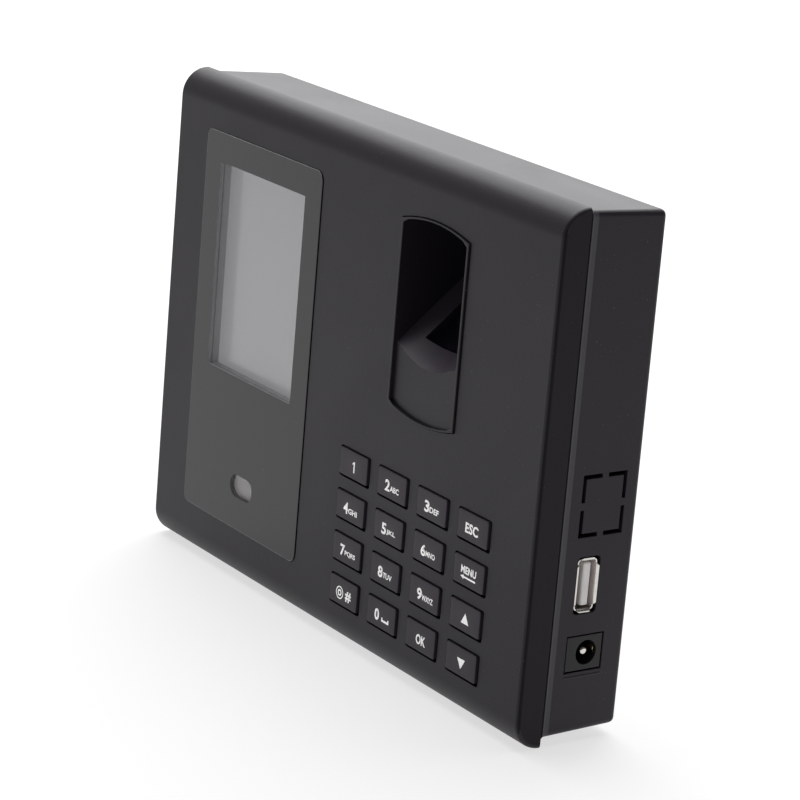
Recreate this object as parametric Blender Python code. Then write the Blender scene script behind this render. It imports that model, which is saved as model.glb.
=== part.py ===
"""Fingerprint scanner terminal: a display, a 16-key pad and an optical finger scanner in a two-part case.

The terminal stands upright. +Z is up and its face looks towards -Y. Its origin is the middle of its
bounding box, at the bottom. Every size is in millimetres, and the shape functions turn it into metres.
"""
import math

import bmesh
import bpy
from mathutils import Matrix, Vector

MM = 0.001

# Case: the front cover and the deeper rear housing meet at the seam.
WIDTH = 184.0
HEIGHT = 135.2
COVER_DEPTH = 7.6
HOUSING_DEPTH = 24.0
WALL = 2.2
GAP = 0.3
SEAM_GAP = 0.5
END_RADIUS = 1.0
HOUSING_RADIUS = 1.6
HOUSING_INSET_SIDE = 0.5
HOUSING_INSET_TOP = 0.9
HOUSING_INSET_BOTTOM = 2.2
SIDE_DRAFT = 1.4
TOP_DRAFT = 1.0
BOTTOM_DRAFT = 0.6
LIP_DEPTH = 1.5
LIP_FLARE = 0.4

# Keys: four columns by four rows, counted from the top left key. They sit a little high in their openings.
KEY_WIDTH = 13.1
KEY_HEIGHT = 7.2
KEY_OPENING = (14.4, 8.2)
KEY_RAISED = 0.22
KEY_PROUD = 0.55
KEY_TRAVEL = 0.5
KEY_FLANGE = 1.2
KEY_FLANGE_DEPTH = 1.2
FIRST_KEY = (11.33, 49.55)
KEY_PITCH = (18.5, 11.56)
KEY_NAMES = (
    ("key_1", "key_2", "key_3", "key_esc"),
    ("key_4", "key_5", "key_6", "key_menu"),
    ("key_7", "key_8", "key_9", "key_up"),
    ("key_at_hash", "key_0", "key_ok", "key_down"),
)

# The face of the cover is at FRONT. Depths below are measured from it, towards the back.
FRONT = -(COVER_DEPTH + HOUSING_DEPTH - KEY_PROUD) / 2
SEAM = FRONT + COVER_DEPTH
BACK = SEAM + HOUSING_DEPTH

# Display: (left, bottom, right, top) of the lens and of the clear window printed on it.
LENS = (-75.1, 14.9, -14.7, 121.3)
LENS_PROUD = 0.2
LENS_THICK = 1.0
LENS_CORNER = 2.5
WINDOW = (-67.0, 56.7, -22.6, 113.5)
GASKET_WIDTH = 1.3
LCD_DEPTH = 3.4
LCD_GLASS = (-68.5, 51.5, -20.5, 117.5)
LCD_TRAY = (-69.5, 50.0, -19.5, 119.2)
OVAL_CENTRE = (-44.6, 26.8)
OVAL_SIZE = (11.7, 6.3)

# Finger scanner: its rim bows outwards at the top and the bottom, and its ramp climbs inwards.
SCANNER_CENTRE = (39.25, 94.4)
RIM_WIDTH = 30.3
RIM_HEIGHT = 47.5
RIM_BOW = 2.1
RIM_WALL = 0.9
RIM_PROUD = 0.5
TUNNEL_DEPTH = 20.6
FLOOR_DEPTH = 0.5
RAMP_START = 86.6
RAMP_ANGLE = math.radians(40)
RAMP_WALL = 4.6
GROOVE_EDGE = (10.5, 1.2)
GROOVE_DEPTH = 3.1
APERTURE_WIDTH = 17.6
APERTURE_START = 4.9
APERTURE_LENGTH = 19.0
PRISM_TOP = 3.6
PRISM_BOTTOM = 10.6

# Boards, as depths of their front faces.
FRONT_BOARD_DEPTH = 7.2
MAIN_BOARD_DEPTH = 11.6
BOARD_THICK = 1.6
MAIN_BOARD_BACK = MAIN_BOARD_DEPTH + BOARD_THICK
MAIN_BOARD = (4.0, 14.0, 88.0, 62.0)

# Inlets in the right-hand wall: middle height, and front and back depth.
USB_HEIGHT = 40.8
USB_SHELL = (13.2, 14.8, 20.6)
USB_SHEET = 0.4
USB_SUNK = 0.7
JACK_HEIGHT = 23.2
JACK_WIDTH = 8.95
JACK_DEPTHS = (13.5, 24.5)
JACK_BORE_DEPTH = 19.7
JACK_BORE = 3.15
JACK_SUNK = 0.1
JACK_PIN_SUNK = 0.9
JACK_PIN_LENGTH = 8.3
JACK_PIN_RADIUS = 1.1
INLET_LENGTH = 14.0

# Knock-out for side wiring: outer (front, bottom, back, top) as depth and height.
KNOCKOUT = (13.5, 53.2, 27.1, 69.0)
KNOCKOUT_SLOT = 1.0
KNOCKOUT_BRIDGE = 2.0

# Screws, as (right, up) places.
CASE_SCREWS = ((-84.0, 8.5), (84.0, 8.5), (-84.0, 126.5), (84.0, 126.5))
FRONT_BOARD_SCREWS = ((-58.0, 12.0), (-4.0, 12.0), (20.0, 58.5), (70.0, 58.5))
MAIN_BOARD_SCREWS = ((8.0, 18.0), (8.0, 58.0), (72.0, 18.0), (84.0, 57.0))
CASE_SEAT_DEPTH = 12.0
SCREW_SHANK = 1.2
SCREW_CLEARANCE = 1.6

SPEAKER_CENTRE = (-58.0, 32.0)
BATTERY_CENTRE = (45.0, 40.0)
BATTERY_RADIUS = 10.0
CABLE_OPENING = (5.0, 36.0, 27.0, 52.0)
KEYHOLES = ((-62.0, 98.0), (62.0, 98.0))

AXIS_TURNS = {
    "X": Matrix(((0, 0, 1, 0), (1, 0, 0, 0), (0, 1, 0, 0), (0, 0, 0, 1))),
    "Y": Matrix.Rotation(math.radians(90), 4, "X"),
    "Z": Matrix.Identity(4),
}


# ---------------------------------------------------------------- scene and materials

def empty_scene():
    """Remove every object, and make one collection for the pieces and one for the cutters."""
    for old in list(bpy.data.objects):
        bpy.data.objects.remove(old, do_unlink=True)
    made = []
    for name in ("fingerprint_terminal", "cutters"):
        group = bpy.data.collections.new(name)
        bpy.context.scene.collection.children.link(group)
        made.append(group)
    return made


PIECES, CUTTERS = empty_scene()


def make_material(name, colour, roughness, metallic=0.0):
    """A plain surface with one colour."""
    surface = bpy.data.materials.new(name)
    surface.use_nodes = True
    shader = surface.node_tree.nodes["Principled BSDF"]
    shader.inputs["Base Color"].default_value = (*colour, 1.0)
    shader.inputs["Roughness"].default_value = roughness
    shader.inputs["Metallic"].default_value = metallic
    return surface


CASE_BLACK = make_material("case_black", (0.032, 0.031, 0.034), 0.55)
KEY_BLACK = make_material("key_black", (0.034, 0.033, 0.036), 0.5)
LENS_BLACK = make_material("lens_black", (0.02, 0.02, 0.022), 0.08)
FOAM_GREY = make_material("foam_grey", (0.16, 0.16, 0.165), 0.9)
DISPLAY_GREY = make_material("display_grey", (0.3, 0.3, 0.31), 0.2)
DIFFUSER_WHITE = make_material("diffuser_white", (0.7, 0.68, 0.68), 0.5)
PRISM_GLASS = make_material("prism_glass", (0.01, 0.01, 0.014), 0.05)
BOARD_GREEN = make_material("board_green", (0.012, 0.09, 0.04), 0.45)
SILICONE_GREY = make_material("silicone_grey", (0.12, 0.12, 0.12), 0.8)
PLASTIC_WHITE = make_material("plastic_white", (0.66, 0.65, 0.63), 0.5)
PLASTIC_BLACK = make_material("plastic_black", (0.015, 0.015, 0.016), 0.45)
FILM_AMBER = make_material("film_amber", (0.35, 0.15, 0.03), 0.35)
STEEL = make_material("steel", (0.62, 0.61, 0.58), 0.3, 1.0)
BRASS = make_material("brass", (0.7, 0.52, 0.2), 0.3, 1.0)
NICKEL = make_material("nickel", (0.72, 0.7, 0.66), 0.2, 1.0)


# ---------------------------------------------------------------- shape functions

def place(name, mesh, centre, material=None):
    """An object at a place given in millimetres: a piece if it has a material, else a cutter."""
    shape = bpy.data.objects.new(name, mesh)
    shape.location = Vector(centre) * MM
    if material:
        mesh.materials.append(material)
        PIECES.objects.link(shape)
    else:
        shape.hide_render = True
        shape.display_type = "WIRE"
        CUTTERS.objects.link(shape)
    bpy.context.view_layer.update()
    return shape


def block(name, low, high, material=None):
    """A box between two corners."""
    low, high = Vector(low), Vector(high)
    mesh = bpy.data.meshes.new(name)
    shape = bmesh.new()
    bmesh.ops.create_cube(shape, size=1.0)
    bmesh.ops.scale(shape, vec=(high - low) * MM, verts=shape.verts)
    shape.to_mesh(mesh)
    shape.free()
    return place(name, mesh, (low + high) / 2, material)


def rod(name, start, length, radius, axis="Y", material=None, end_radius=None, segments=32):
    """A round bar or a cone that runs from start along an axis."""
    mesh = bpy.data.meshes.new(name)
    shape = bmesh.new()
    far_radius = radius if end_radius is None else end_radius
    bmesh.ops.create_cone(shape, cap_ends=True, segments=segments, depth=length * MM,
                          radius1=radius * MM, radius2=far_radius * MM)
    turn = {"X": Matrix.Rotation(math.radians(90), 4, "Y"),
            "Y": Matrix.Rotation(math.radians(-90), 4, "X"),
            "Z": Matrix.Identity(4)}[axis]
    bmesh.ops.transform(shape, matrix=turn, verts=shape.verts)
    shape.to_mesh(mesh)
    shape.free()
    middle = Vector(start)
    middle["XYZ".index(axis)] += length / 2
    bar = place(name, mesh, middle, material)
    bar.data.shade_smooth()
    bar.data.set_sharp_from_angle(angle=math.radians(40))
    return bar


def plate(name, outlines, axis, start, stop, material=None):
    """Flat outlines extruded along an axis. An outline inside another one is a hole.

    The points are (right, up) for the Y axis, and (depth, up) for the X axis.
    """
    curve = bpy.data.curves.new(name, "CURVE")
    curve.dimensions = "2D"
    curve.fill_mode = "BOTH"
    curve.extrude = (stop - start) / 2 * MM
    for outline in outlines:
        spline = curve.splines.new("POLY")
        spline.points.add(len(outline) - 1)
        for point, (right, up) in zip(spline.points, outline):
            point.co = (right * MM, up * MM, 0, 1)
        spline.use_cyclic_u = True
    guide = bpy.data.objects.new(name + "_outline", curve)
    CUTTERS.objects.link(guide)
    bpy.context.view_layer.update()
    mesh = bpy.data.meshes.new_from_object(guide.evaluated_get(bpy.context.evaluated_depsgraph_get()))
    bpy.data.objects.remove(guide)
    mesh.materials.clear()
    shape = bmesh.new()
    shape.from_mesh(mesh)
    bmesh.ops.remove_doubles(shape, verts=shape.verts, dist=1e-6)
    bmesh.ops.transform(shape, matrix=AXIS_TURNS[axis], verts=shape.verts)
    bmesh.ops.recalc_face_normals(shape, faces=shape.faces)
    bmesh.ops.dissolve_limit(shape, angle_limit=math.radians(0.5), verts=shape.verts, edges=shape.edges)
    shape.to_mesh(mesh)
    shape.free()
    centre = Vector((0, 0, 0))
    centre["XYZ".index(axis)] = (start + stop) / 2
    return place(name, mesh, centre, material)


def arc(centre, radii, first, last, steps):
    """Points along part of an ellipse, from one angle in degrees to another."""
    points = []
    for step in range(steps + 1):
        angle = math.radians(first + (last - first) * step / steps)
        points.append((centre[0] + radii[0] * math.cos(angle), centre[1] + radii[1] * math.sin(angle)))
    return points


def rounded(rectangle, radius, steps=6):
    """A rectangle (left, bottom, right, top) with round corners."""
    left, bottom, right, top = rectangle
    corners = ((right - radius, top - radius, 0), (left + radius, top - radius, 90),
               (left + radius, bottom + radius, 180), (right - radius, bottom + radius, 270))
    points = []
    for across, up, first in corners:
        points += arc((across, up), (radius, radius), first, first + 90, steps)
    return points


def grown(rectangle, margin):
    """A rectangle moved outwards by a margin on every side."""
    left, bottom, right, top = rectangle
    return (left - margin, bottom - margin, right + margin, top + margin)


def around(centre, width, height):
    """A rectangle of a given size around a middle point."""
    return (centre[0] - width / 2, centre[1] - height / 2, centre[0] + width / 2, centre[1] + height / 2)


def gather(shapes):
    """Put several shapes into the first one, as one mesh, and remove the rest."""
    first = shapes[0]
    mesh = bmesh.new()
    for shape in shapes:
        part = shape.data.copy()
        part.transform(first.matrix_world.inverted() @ shape.matrix_world)
        mesh.from_mesh(part)
        bpy.data.meshes.remove(part)
    mesh.to_mesh(first.data)
    mesh.free()
    for shape in shapes[1:]:
        bpy.data.objects.remove(shape)
    return first


def combine(shape, other, operation):
    """Cut or join a shape with another one, as an exact Boolean modifier."""
    boolean = shape.modifiers.new(other.name, "BOOLEAN")
    boolean.operation = operation
    boolean.solver = "EXACT"
    boolean.object = other


def cut(shape, *others):
    for other in others:
        combine(shape, other, "DIFFERENCE")


def join(shape, *others):
    for other in others:
        combine(shape, other, "UNION")


def round_edges(shape, width, segments, chosen):
    """Round the edges that a test picks. The test gets an edge's two ends in millimetres."""
    mesh = bmesh.new()
    mesh.from_mesh(shape.data)
    edges = []
    for edge in mesh.edges:
        ends = [(shape.matrix_world @ vertex.co) / MM for vertex in edge.verts]
        if chosen(*ends):
            edges.append(edge)
    bmesh.ops.bevel(mesh, geom=edges, offset=width * MM, segments=segments, profile=0.5, affect="EDGES")
    mesh.to_mesh(shape.data)
    mesh.free()


def near(value, target):
    return abs(value - target) < 0.01


# ---------------------------------------------------------------- case

def cover_profile(margin, back):
    """Side view of the cover as (depth, up): flat face, with large round edges at the top and bottom."""
    radius = COVER_DEPTH - margin
    middle = FRONT + COVER_DEPTH
    upper = arc((middle, HEIGHT - COVER_DEPTH), (radius, radius), 90, 180, 12)
    lower = arc((middle, COVER_DEPTH), (radius, radius), 180, 270, 12)
    return [(back, HEIGHT - margin)] * (back > middle) + upper + lower + [(back, margin)] * (back > middle)


def key_places():
    """The name and the middle of each key, as (name, right, up)."""
    places = []
    for row, names in enumerate(KEY_NAMES):
        for column, name in enumerate(names):
            right = FIRST_KEY[0] + KEY_PITCH[0] * column
            places.append((name, right, FIRST_KEY[1] - KEY_PITCH[1] * row))
    return places


def rim_outline(margin):
    """The scanner's opening: straight sides, with a bowed top and bottom."""
    half = RIM_WIDTH / 2 + margin
    side = RIM_HEIGHT / 2 + margin
    bow_radius = (half ** 2 + RIM_BOW ** 2) / (2 * RIM_BOW)
    spread = math.degrees(math.asin(half / bow_radius))
    drop = side + RIM_BOW - bow_radius
    right, up = SCANNER_CENTRE
    upper = arc((right, up + drop), (bow_radius, bow_radius), 90 - spread, 90 + spread, 14)
    lower = arc((right, up - drop), (bow_radius, bow_radius), 270 - spread, 270 + spread, 14)
    return upper + lower


def make_front_cover():
    """One moulding: a face with openings, rounded long edges, flat ends, and posts inside."""
    cover = plate("front_cover", [cover_profile(0, SEAM)], "X", -WIDTH / 2, WIDTH / 2, CASE_BLACK)
    end = WIDTH / 2
    round_edges(cover, END_RADIUS, 4, lambda a, b: near(abs(a.x), end) and near(a.x, b.x)
                and not (near(a.y, SEAM) and near(b.y, SEAM)))
    cavity = plate("cover_cavity", [cover_profile(WALL, SEAM + 2)], "X", WALL - end, end - WALL)
    posts = [rod(f"cover_post_{right}_{up}", (right, FRONT + WALL - 1, up), 7.4, 3.2)
             for right, up in CASE_SCREWS]
    posts += [rod(f"board_post_{right}_{up}", (right, FRONT + WALL - 1, up), 5.7, 2.4)
              for right, up in FRONT_BOARD_SCREWS]
    pilots = [rod(f"cover_pilot_{right}_{up}", (right, FRONT + 3.6, up), 8, SCREW_SHANK + GAP, segments=16)
              for right, up in CASE_SCREWS]
    pilots += [rod(f"board_pilot_{right}_{up}", (right, FRONT + 3.2, up), 8, SCREW_SHANK + GAP - 0.2,
                   segments=16) for right, up in FRONT_BOARD_SCREWS]
    recess = plate("lens_recess", [rounded(grown(LENS, GAP), LENS_CORNER + GAP)], "Y",
                   FRONT - 1, FRONT + LENS_THICK - LENS_PROUD + GAP)
    display = plate("display_opening", [rounded(grown(WINDOW, GASKET_WIDTH + GAP), 0.8, 3)], "Y",
                    FRONT - 1, FRONT + WALL + 1)
    oval = around(OVAL_CENTRE, OVAL_SIZE[0] + 2 * GAP, OVAL_SIZE[1] + 2 * GAP)
    light = plate("light_opening", [rounded(oval, oval[3] - OVAL_CENTRE[1] - 0.05, 8)], "Y",
                  FRONT - 1, FRONT + WALL + 1)
    keys = gather([plate(f"{name}_opening", [rounded(around((right, up - KEY_RAISED), *KEY_OPENING), 0.6, 3)],
                         "Y", FRONT - 1, FRONT + WALL + 1) for name, right, up in key_places()])
    scanner = plate("scanner_opening", [rim_outline(GAP)], "Y", FRONT - 1, FRONT + WALL + 1)
    cut(cover, cavity)
    join(cover, gather(posts))
    cut(cover, gather(pilots), recess, display, light, keys, scanner)
    return cover


def housing_box(name, margin, front, material=None):
    """The rear housing's outer shape, or its hollow: a box that narrows towards the back."""
    side = WIDTH / 2 - HOUSING_INSET_SIDE - margin
    bottom = HOUSING_INSET_BOTTOM + margin
    top = HEIGHT - HOUSING_INSET_TOP - margin
    box = block(name, (-side, front, bottom), (side, BACK - margin, top), material)
    for vertex in box.data.vertices:
        if vertex.co.y > 0:
            vertex.co.x -= math.copysign(SIDE_DRAFT * MM, vertex.co.x)
            vertex.co.z += BOTTOM_DRAFT * MM if vertex.co.z < 0 else -TOP_DRAFT * MM
    return box


def housing_lip(front):
    """A flare around the housing's front edge, which widens it almost to the cover's outline."""
    side = WIDTH / 2 - HOUSING_INSET_SIDE + LIP_FLARE
    bottom = HOUSING_INSET_BOTTOM - LIP_FLARE
    top = HEIGHT - HOUSING_INSET_TOP + LIP_FLARE
    lip = block("housing_lip", (-side, front, bottom), (side, front + LIP_DEPTH, top))
    inset = (LIP_FLARE + 0.3) * MM
    for vertex in lip.data.vertices:
        if vertex.co.y > 0:
            vertex.co.x -= math.copysign(inset, vertex.co.x)
            vertex.co.z -= math.copysign(inset, vertex.co.z)
    round_edges(lip, HOUSING_RADIUS, 4, lambda a, b: not near(a.y, b.y))
    return lip


def side_at(depth):
    """How far right the housing's side wall is, at a depth behind the face."""
    share = (depth - COVER_DEPTH - SEAM_GAP) / (HOUSING_DEPTH - SEAM_GAP)
    return WIDTH / 2 - HOUSING_INSET_SIDE - SIDE_DRAFT * share


def knockout_slots():
    """Four L-shaped slots around the tab, with a bridge left in the middle of each side."""
    front, bottom, back, top = KNOCKOUT
    outer = [(FRONT + front, bottom), (FRONT + back, bottom), (FRONT + back, top), (FRONT + front, top)]
    inner = grown((FRONT + front, bottom, FRONT + back, top), -KNOCKOUT_SLOT)
    tab = [(inner[0], inner[1]), (inner[2], inner[1]), (inner[2], inner[3]), (inner[0], inner[3])]
    slots = plate("knockout_slots", [outer, tab], "X", WIDTH / 2 - 6, WIDTH / 2 + 2)
    middle_depth = FRONT + (front + back) / 2
    middle_height = (bottom + top) / 2
    half = KNOCKOUT_BRIDGE / 2
    across = block("bridge_across", (WIDTH / 2 - 8, FRONT + front - 2, middle_height - half),
                   (WIDTH / 2 + 4, FRONT + back + 2, middle_height + half))
    upright = block("bridge_upright", (WIDTH / 2 - 8, middle_depth - half, bottom - 2),
                    (WIDTH / 2 + 4, middle_depth + half, top + 2))
    cut(slots, across, upright)
    return slots


def keyhole(right, up):
    """A wall hook's hole: a round entry with a narrow slot above it."""
    entry = rod(f"keyhole_entry_{right}", (right, BACK - WALL - 2, up), WALL + 4, 4.2)
    slot = plate(f"keyhole_slot_{right}", [rounded((right - 2.2, up - 1, right + 2.2, up + 9.5), 2.1)],
                 "Y", BACK - WALL - 2, BACK + 2)
    join(entry, slot)
    return entry


def make_rear_housing():
    """A deep tray with a draft, a flared lip, round edges, screw bosses, board posts and its openings."""
    front = SEAM + SEAM_GAP
    housing = housing_box("rear_housing", 0, front, CASE_BLACK)
    round_edges(housing, HOUSING_RADIUS, 4,
                lambda a, b: not near(a.y, b.y) or near(a.y, BACK) and near(b.y, BACK))
    hollow = housing_box("housing_hollow", WALL, front - 1)
    bosses = [rod(f"case_boss_{right}_{up}", (right, SEAM + 1.4, up), BACK - WALL + 0.8 - SEAM - 1.4, 3.9)
              for right, up in CASE_SCREWS]
    bosses += [rod(f"main_post_{right}_{up}", (right, FRONT + MAIN_BOARD_BACK + GAP, up),
                   BACK - WALL + 0.8 - FRONT - MAIN_BOARD_BACK - GAP, 2.6)
               for right, up in MAIN_BOARD_SCREWS]
    holes = [rod(f"case_through_{right}_{up}", (right, SEAM, up), 20, SCREW_CLEARANCE, segments=20)
             for right, up in CASE_SCREWS]
    holes += [rod(f"main_pilot_{right}_{up}", (right, FRONT + MAIN_BOARD_DEPTH, up), 8, SCREW_SHANK + 0.1,
                  segments=16) for right, up in MAIN_BOARD_SCREWS]
    seats = [rod(f"case_seat_{right}_{up}", (right, FRONT + CASE_SEAT_DEPTH, up), 30, 2.7, segments=24)
             for right, up in CASE_SCREWS]
    sound = [rod("sound_hole_0", (SPEAKER_CENTRE[0], BACK - WALL - 1, SPEAKER_CENTRE[1]), WALL + 2, 1.1,
                 segments=12)]
    for step in range(6):
        angle = math.radians(60 * step)
        spot = (SPEAKER_CENTRE[0] + 6 * math.cos(angle), SPEAKER_CENTRE[1] + 6 * math.sin(angle))
        sound.append(rod(f"sound_hole_{step + 1}", (spot[0], BACK - WALL - 1, spot[1]), WALL + 2, 1.1,
                         segments=12))
    usb_half = USB_SHELL[0] / 2 + 0.7
    usb = plate("usb_opening", [rounded((FRONT + USB_SHELL[1] - 0.6, USB_HEIGHT - usb_half,
                                         FRONT + USB_SHELL[2] + 0.7, USB_HEIGHT + usb_half), 1.0, 3)],
                "X", WIDTH / 2 - 6, WIDTH / 2 + 2)
    jack = block("jack_opening",
                 (WIDTH / 2 - 6, FRONT + JACK_DEPTHS[0] - GAP, JACK_HEIGHT - JACK_WIDTH / 2 - GAP),
                 (WIDTH / 2 + 2, FRONT + JACK_DEPTHS[1] + GAP, JACK_HEIGHT + JACK_WIDTH / 2 + GAP))
    cable = plate("cable_opening", [rounded(CABLE_OPENING, 2.0)], "Y", BACK - WALL - 2, BACK + 2)
    join(housing, housing_lip(front))
    cut(housing, hollow)
    join(housing, gather(bosses))
    cut(housing, gather(holes), gather(seats), gather(sound), usb, jack, cable, knockout_slots())
    cut(housing, *[keyhole(right, up) for right, up in KEYHOLES])
    return housing


# ---------------------------------------------------------------- display

def make_display():
    """Lens, foam frame, display glass in its tray, and the flat ribbon that goes down to the board."""
    lens = plate("display_lens", [rounded(LENS, LENS_CORNER)], "Y", FRONT - LENS_PROUD,
                 FRONT - LENS_PROUD + LENS_THICK, LENS_BLACK)
    round_edges(lens, 0.2, 2, lambda a, b: near(a.y, FRONT - LENS_PROUD) and near(b.y, FRONT - LENS_PROUD))
    frame_front = FRONT - LENS_PROUD + LENS_THICK + GAP
    plate("display_gasket", [rounded(grown(WINDOW, GASKET_WIDTH), 0.6, 3), rounded(WINDOW, 0.3, 2)], "Y",
          frame_front, FRONT + LCD_DEPTH - GAP, FOAM_GREY)
    left, bottom, right, top = LCD_GLASS
    block("lcd_panel", (left, FRONT + LCD_DEPTH, bottom), (right, FRONT + LCD_DEPTH + 1.2, top), DISPLAY_GREY)
    left, bottom, right, top = LCD_TRAY
    tray = block("lcd_tray", (left, FRONT + LCD_DEPTH + 0.4, bottom), (right, FRONT + 7.0, top), STEEL)
    left, bottom, right, top = grown(LCD_GLASS, GAP)
    pocket = block("tray_pocket", (left, FRONT + 2, bottom), (right, FRONT + LCD_DEPTH + 1.5, top))
    cut(tray, pocket)
    ribbon_path = [(5.4, 49.6), (5.4, 47.6), (6.5, 45.0), (6.5, 38.0)]
    sheet = [(FRONT + depth, up) for depth, up in ribbon_path]
    sheet += [(FRONT + depth + 0.35, up) for depth, up in reversed(ribbon_path)]
    plate("lcd_ribbon", [sheet], "X", -54.5, -34.5, FILM_AMBER)


def make_status_light():
    """A pale light guide behind the lens's oval window, and the lamp on the board behind it."""
    stem = around(OVAL_CENTRE, OVAL_SIZE[0], OVAL_SIZE[1])
    front = FRONT - LENS_PROUD + LENS_THICK + GAP
    guide = plate("status_light_guide", [rounded(stem, OVAL_SIZE[1] / 2 - 0.05, 8)], "Y",
                  front, FRONT + 5.2, DIFFUSER_WHITE)
    flange = plate("light_guide_flange", [rounded(grown(stem, 1.2), 3.0, 6)], "Y",
                   FRONT + WALL + GAP, FRONT + WALL + GAP + 1.0)
    join(guide, flange)
    right, up = OVAL_CENTRE
    block("status_led", (right - 1.6, FRONT + 5.5, up - 1.4), (right + 1.6, FRONT + 6.9, up + 1.4),
          PLASTIC_WHITE)


# ---------------------------------------------------------------- keypad

def make_keys():
    """Sixteen caps with one shape: a rounded face, and a flange that holds it behind the cover."""
    mesh = None
    for name, right, up in key_places():
        if mesh is None:
            cap = plate(name, [rounded(around((0, 0), KEY_WIDTH, KEY_HEIGHT), 0.5, 3)], "Y",
                        -KEY_PROUD, WALL + GAP + KEY_FLANGE_DEPTH, KEY_BLACK)
            round_edges(cap, 0.35, 2, lambda a, b: near(a.y, -KEY_PROUD) and near(b.y, -KEY_PROUD))
            flange = around((0, 0), KEY_WIDTH + 2 * KEY_FLANGE, KEY_HEIGHT + 2 * KEY_FLANGE)
            collar = block("key_flange", (flange[0], WALL + GAP, flange[1]),
                           (flange[2], WALL + GAP + KEY_FLANGE_DEPTH, flange[3]))
            join(cap, collar)
            bpy.context.view_layer.update()
            graph = bpy.context.evaluated_depsgraph_get()
            mesh = bpy.data.meshes.new_from_object(cap.evaluated_get(graph))
            mesh.transform(cap.matrix_world)
            bpy.data.objects.remove(cap)
            bpy.data.objects.remove(collar)
            mesh.name = "key_cap"
        key = bpy.data.objects.new(name, mesh)
        key.location = Vector((right, FRONT, up)) * MM
        PIECES.objects.link(key)


def make_keypad_mat():
    """Silicone sheet between the keys and the board, with a soft dome under each key."""
    sheet_front = FRONT_BOARD_DEPTH - GAP - 1.0
    dome_top = WALL + GAP + KEY_FLANGE_DEPTH + KEY_TRAVEL + 0.35
    places = key_places()
    left, right = places[0][1] - 9.5, places[3][1] + 7.8
    top, bottom = places[0][2] + 6.0, places[-1][2] - 6.0
    mat = plate("keypad_mat", [rounded((left, bottom, right, top), 1.5, 3)], "Y",
                FRONT + sheet_front, FRONT + FRONT_BOARD_DEPTH - GAP, SILICONE_GREY)
    domes = [rod(f"{name}_dome", (right, FRONT + dome_top, up), sheet_front - dome_top + 0.4, 1.8,
                 end_radius=2.8, segments=16) for name, right, up in places]
    join(mat, gather(domes))


# ---------------------------------------------------------------- finger scanner

def ramp_point(along, below):
    """A point of the ramp as (depth, up): so far along its slope, and so far below it."""
    climb = (math.cos(RAMP_ANGLE), math.sin(RAMP_ANGLE))
    return (FRONT + FLOOR_DEPTH + along * climb[0] + below * climb[1],
            RAMP_START + along * climb[1] - below * climb[0])


def on_ramp(shape, along, below):
    """Put a shape that was made flat around the origin on the ramp, tilted with it."""
    depth, up = ramp_point(along, below)
    shape.location = Vector((SCANNER_CENTRE[0], depth, up)) * MM
    shape.rotation_euler = (RAMP_ANGLE, 0, 0)
    bpy.context.view_layer.update()
    return shape


def ramp_box(name, width, along, below, material=None):
    """A box on the ramp: a width, a range along the slope, and a range below it."""
    half_length = (along[1] - along[0]) / 2
    half_height = (below[1] - below[0]) / 2
    shape = block(name, (-width / 2, -half_length, -half_height), (width / 2, half_length, half_height), material)
    return on_ramp(shape, (along[0] + along[1]) / 2, (below[0] + below[1]) / 2)


def groove_cutter():
    """The finger's groove across the ramp: two shallow shoulders, then a round hollow."""
    half = RIM_WIDTH / 2
    edge_right, edge_down = GROOVE_EDGE
    sag = GROOVE_DEPTH - edge_down
    radius = (edge_right ** 2 + sag ** 2) / (2 * sag)
    spread = math.degrees(math.asin(edge_right / radius))
    hollow = arc((0, radius - GROOVE_DEPTH), (radius, radius), 270 - spread, 270 + spread, 12)
    outline = [(-half, 6), (-half, 0)] + hollow + [(half, 0), (half, 6)]
    cutter = plate("finger_groove", [outline], "Y", -40, 40)
    return on_ramp(cutter, 0, 0)


def make_scanner_surround():
    """Moulded insert: a thin proud rim, a floor, and a tunnel with a grooved ramp and an aperture."""
    right, up = SCANNER_CENTRE
    surround = plate("scanner_surround", [rim_outline(0)], "Y", FRONT - RIM_PROUD,
                     FRONT + TUNNEL_DEPTH + 1.2, CASE_BLACK)
    flange = plate("surround_flange", [rim_outline(1.8)], "Y", FRONT + WALL + GAP, FRONT + WALL + GAP + 1.4)
    tunnel = plate("scanner_tunnel", [rim_outline(-RIM_WALL)], "Y", FRONT - 2, FRONT + TUNNEL_DEPTH)
    high = ramp_point(40, 0)
    slope = [(FRONT + FLOOR_DEPTH, 60), (high[0], 60), high, (FRONT + FLOOR_DEPTH, RAMP_START)]
    ramp = plate("scanner_ramp", [slope], "X", right - 20, right + 20)
    cut(ramp, groove_cutter())
    cut(tunnel, ramp)
    plate_back = FRONT + 2.6
    low = ramp_point(0, RAMP_WALL)
    low_up = low[1] + (plate_back - low[0]) * math.tan(RAMP_ANGLE)
    far = ramp_point(45, RAMP_WALL)
    beneath = plate("beneath_ramp", [[(plate_back, 60), (far[0], 60), far, (plate_back, low_up)]], "X",
                    right - RIM_WIDTH / 2 + 1.9, right + RIM_WIDTH / 2 - 1.9)
    aperture = ramp_box("scanner_aperture", APERTURE_WIDTH,
                        (APERTURE_START, APERTURE_START + APERTURE_LENGTH), (-1, RAMP_WALL + 2))
    join(surround, flange)
    cut(surround, tunnel, beneath, aperture)


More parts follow.
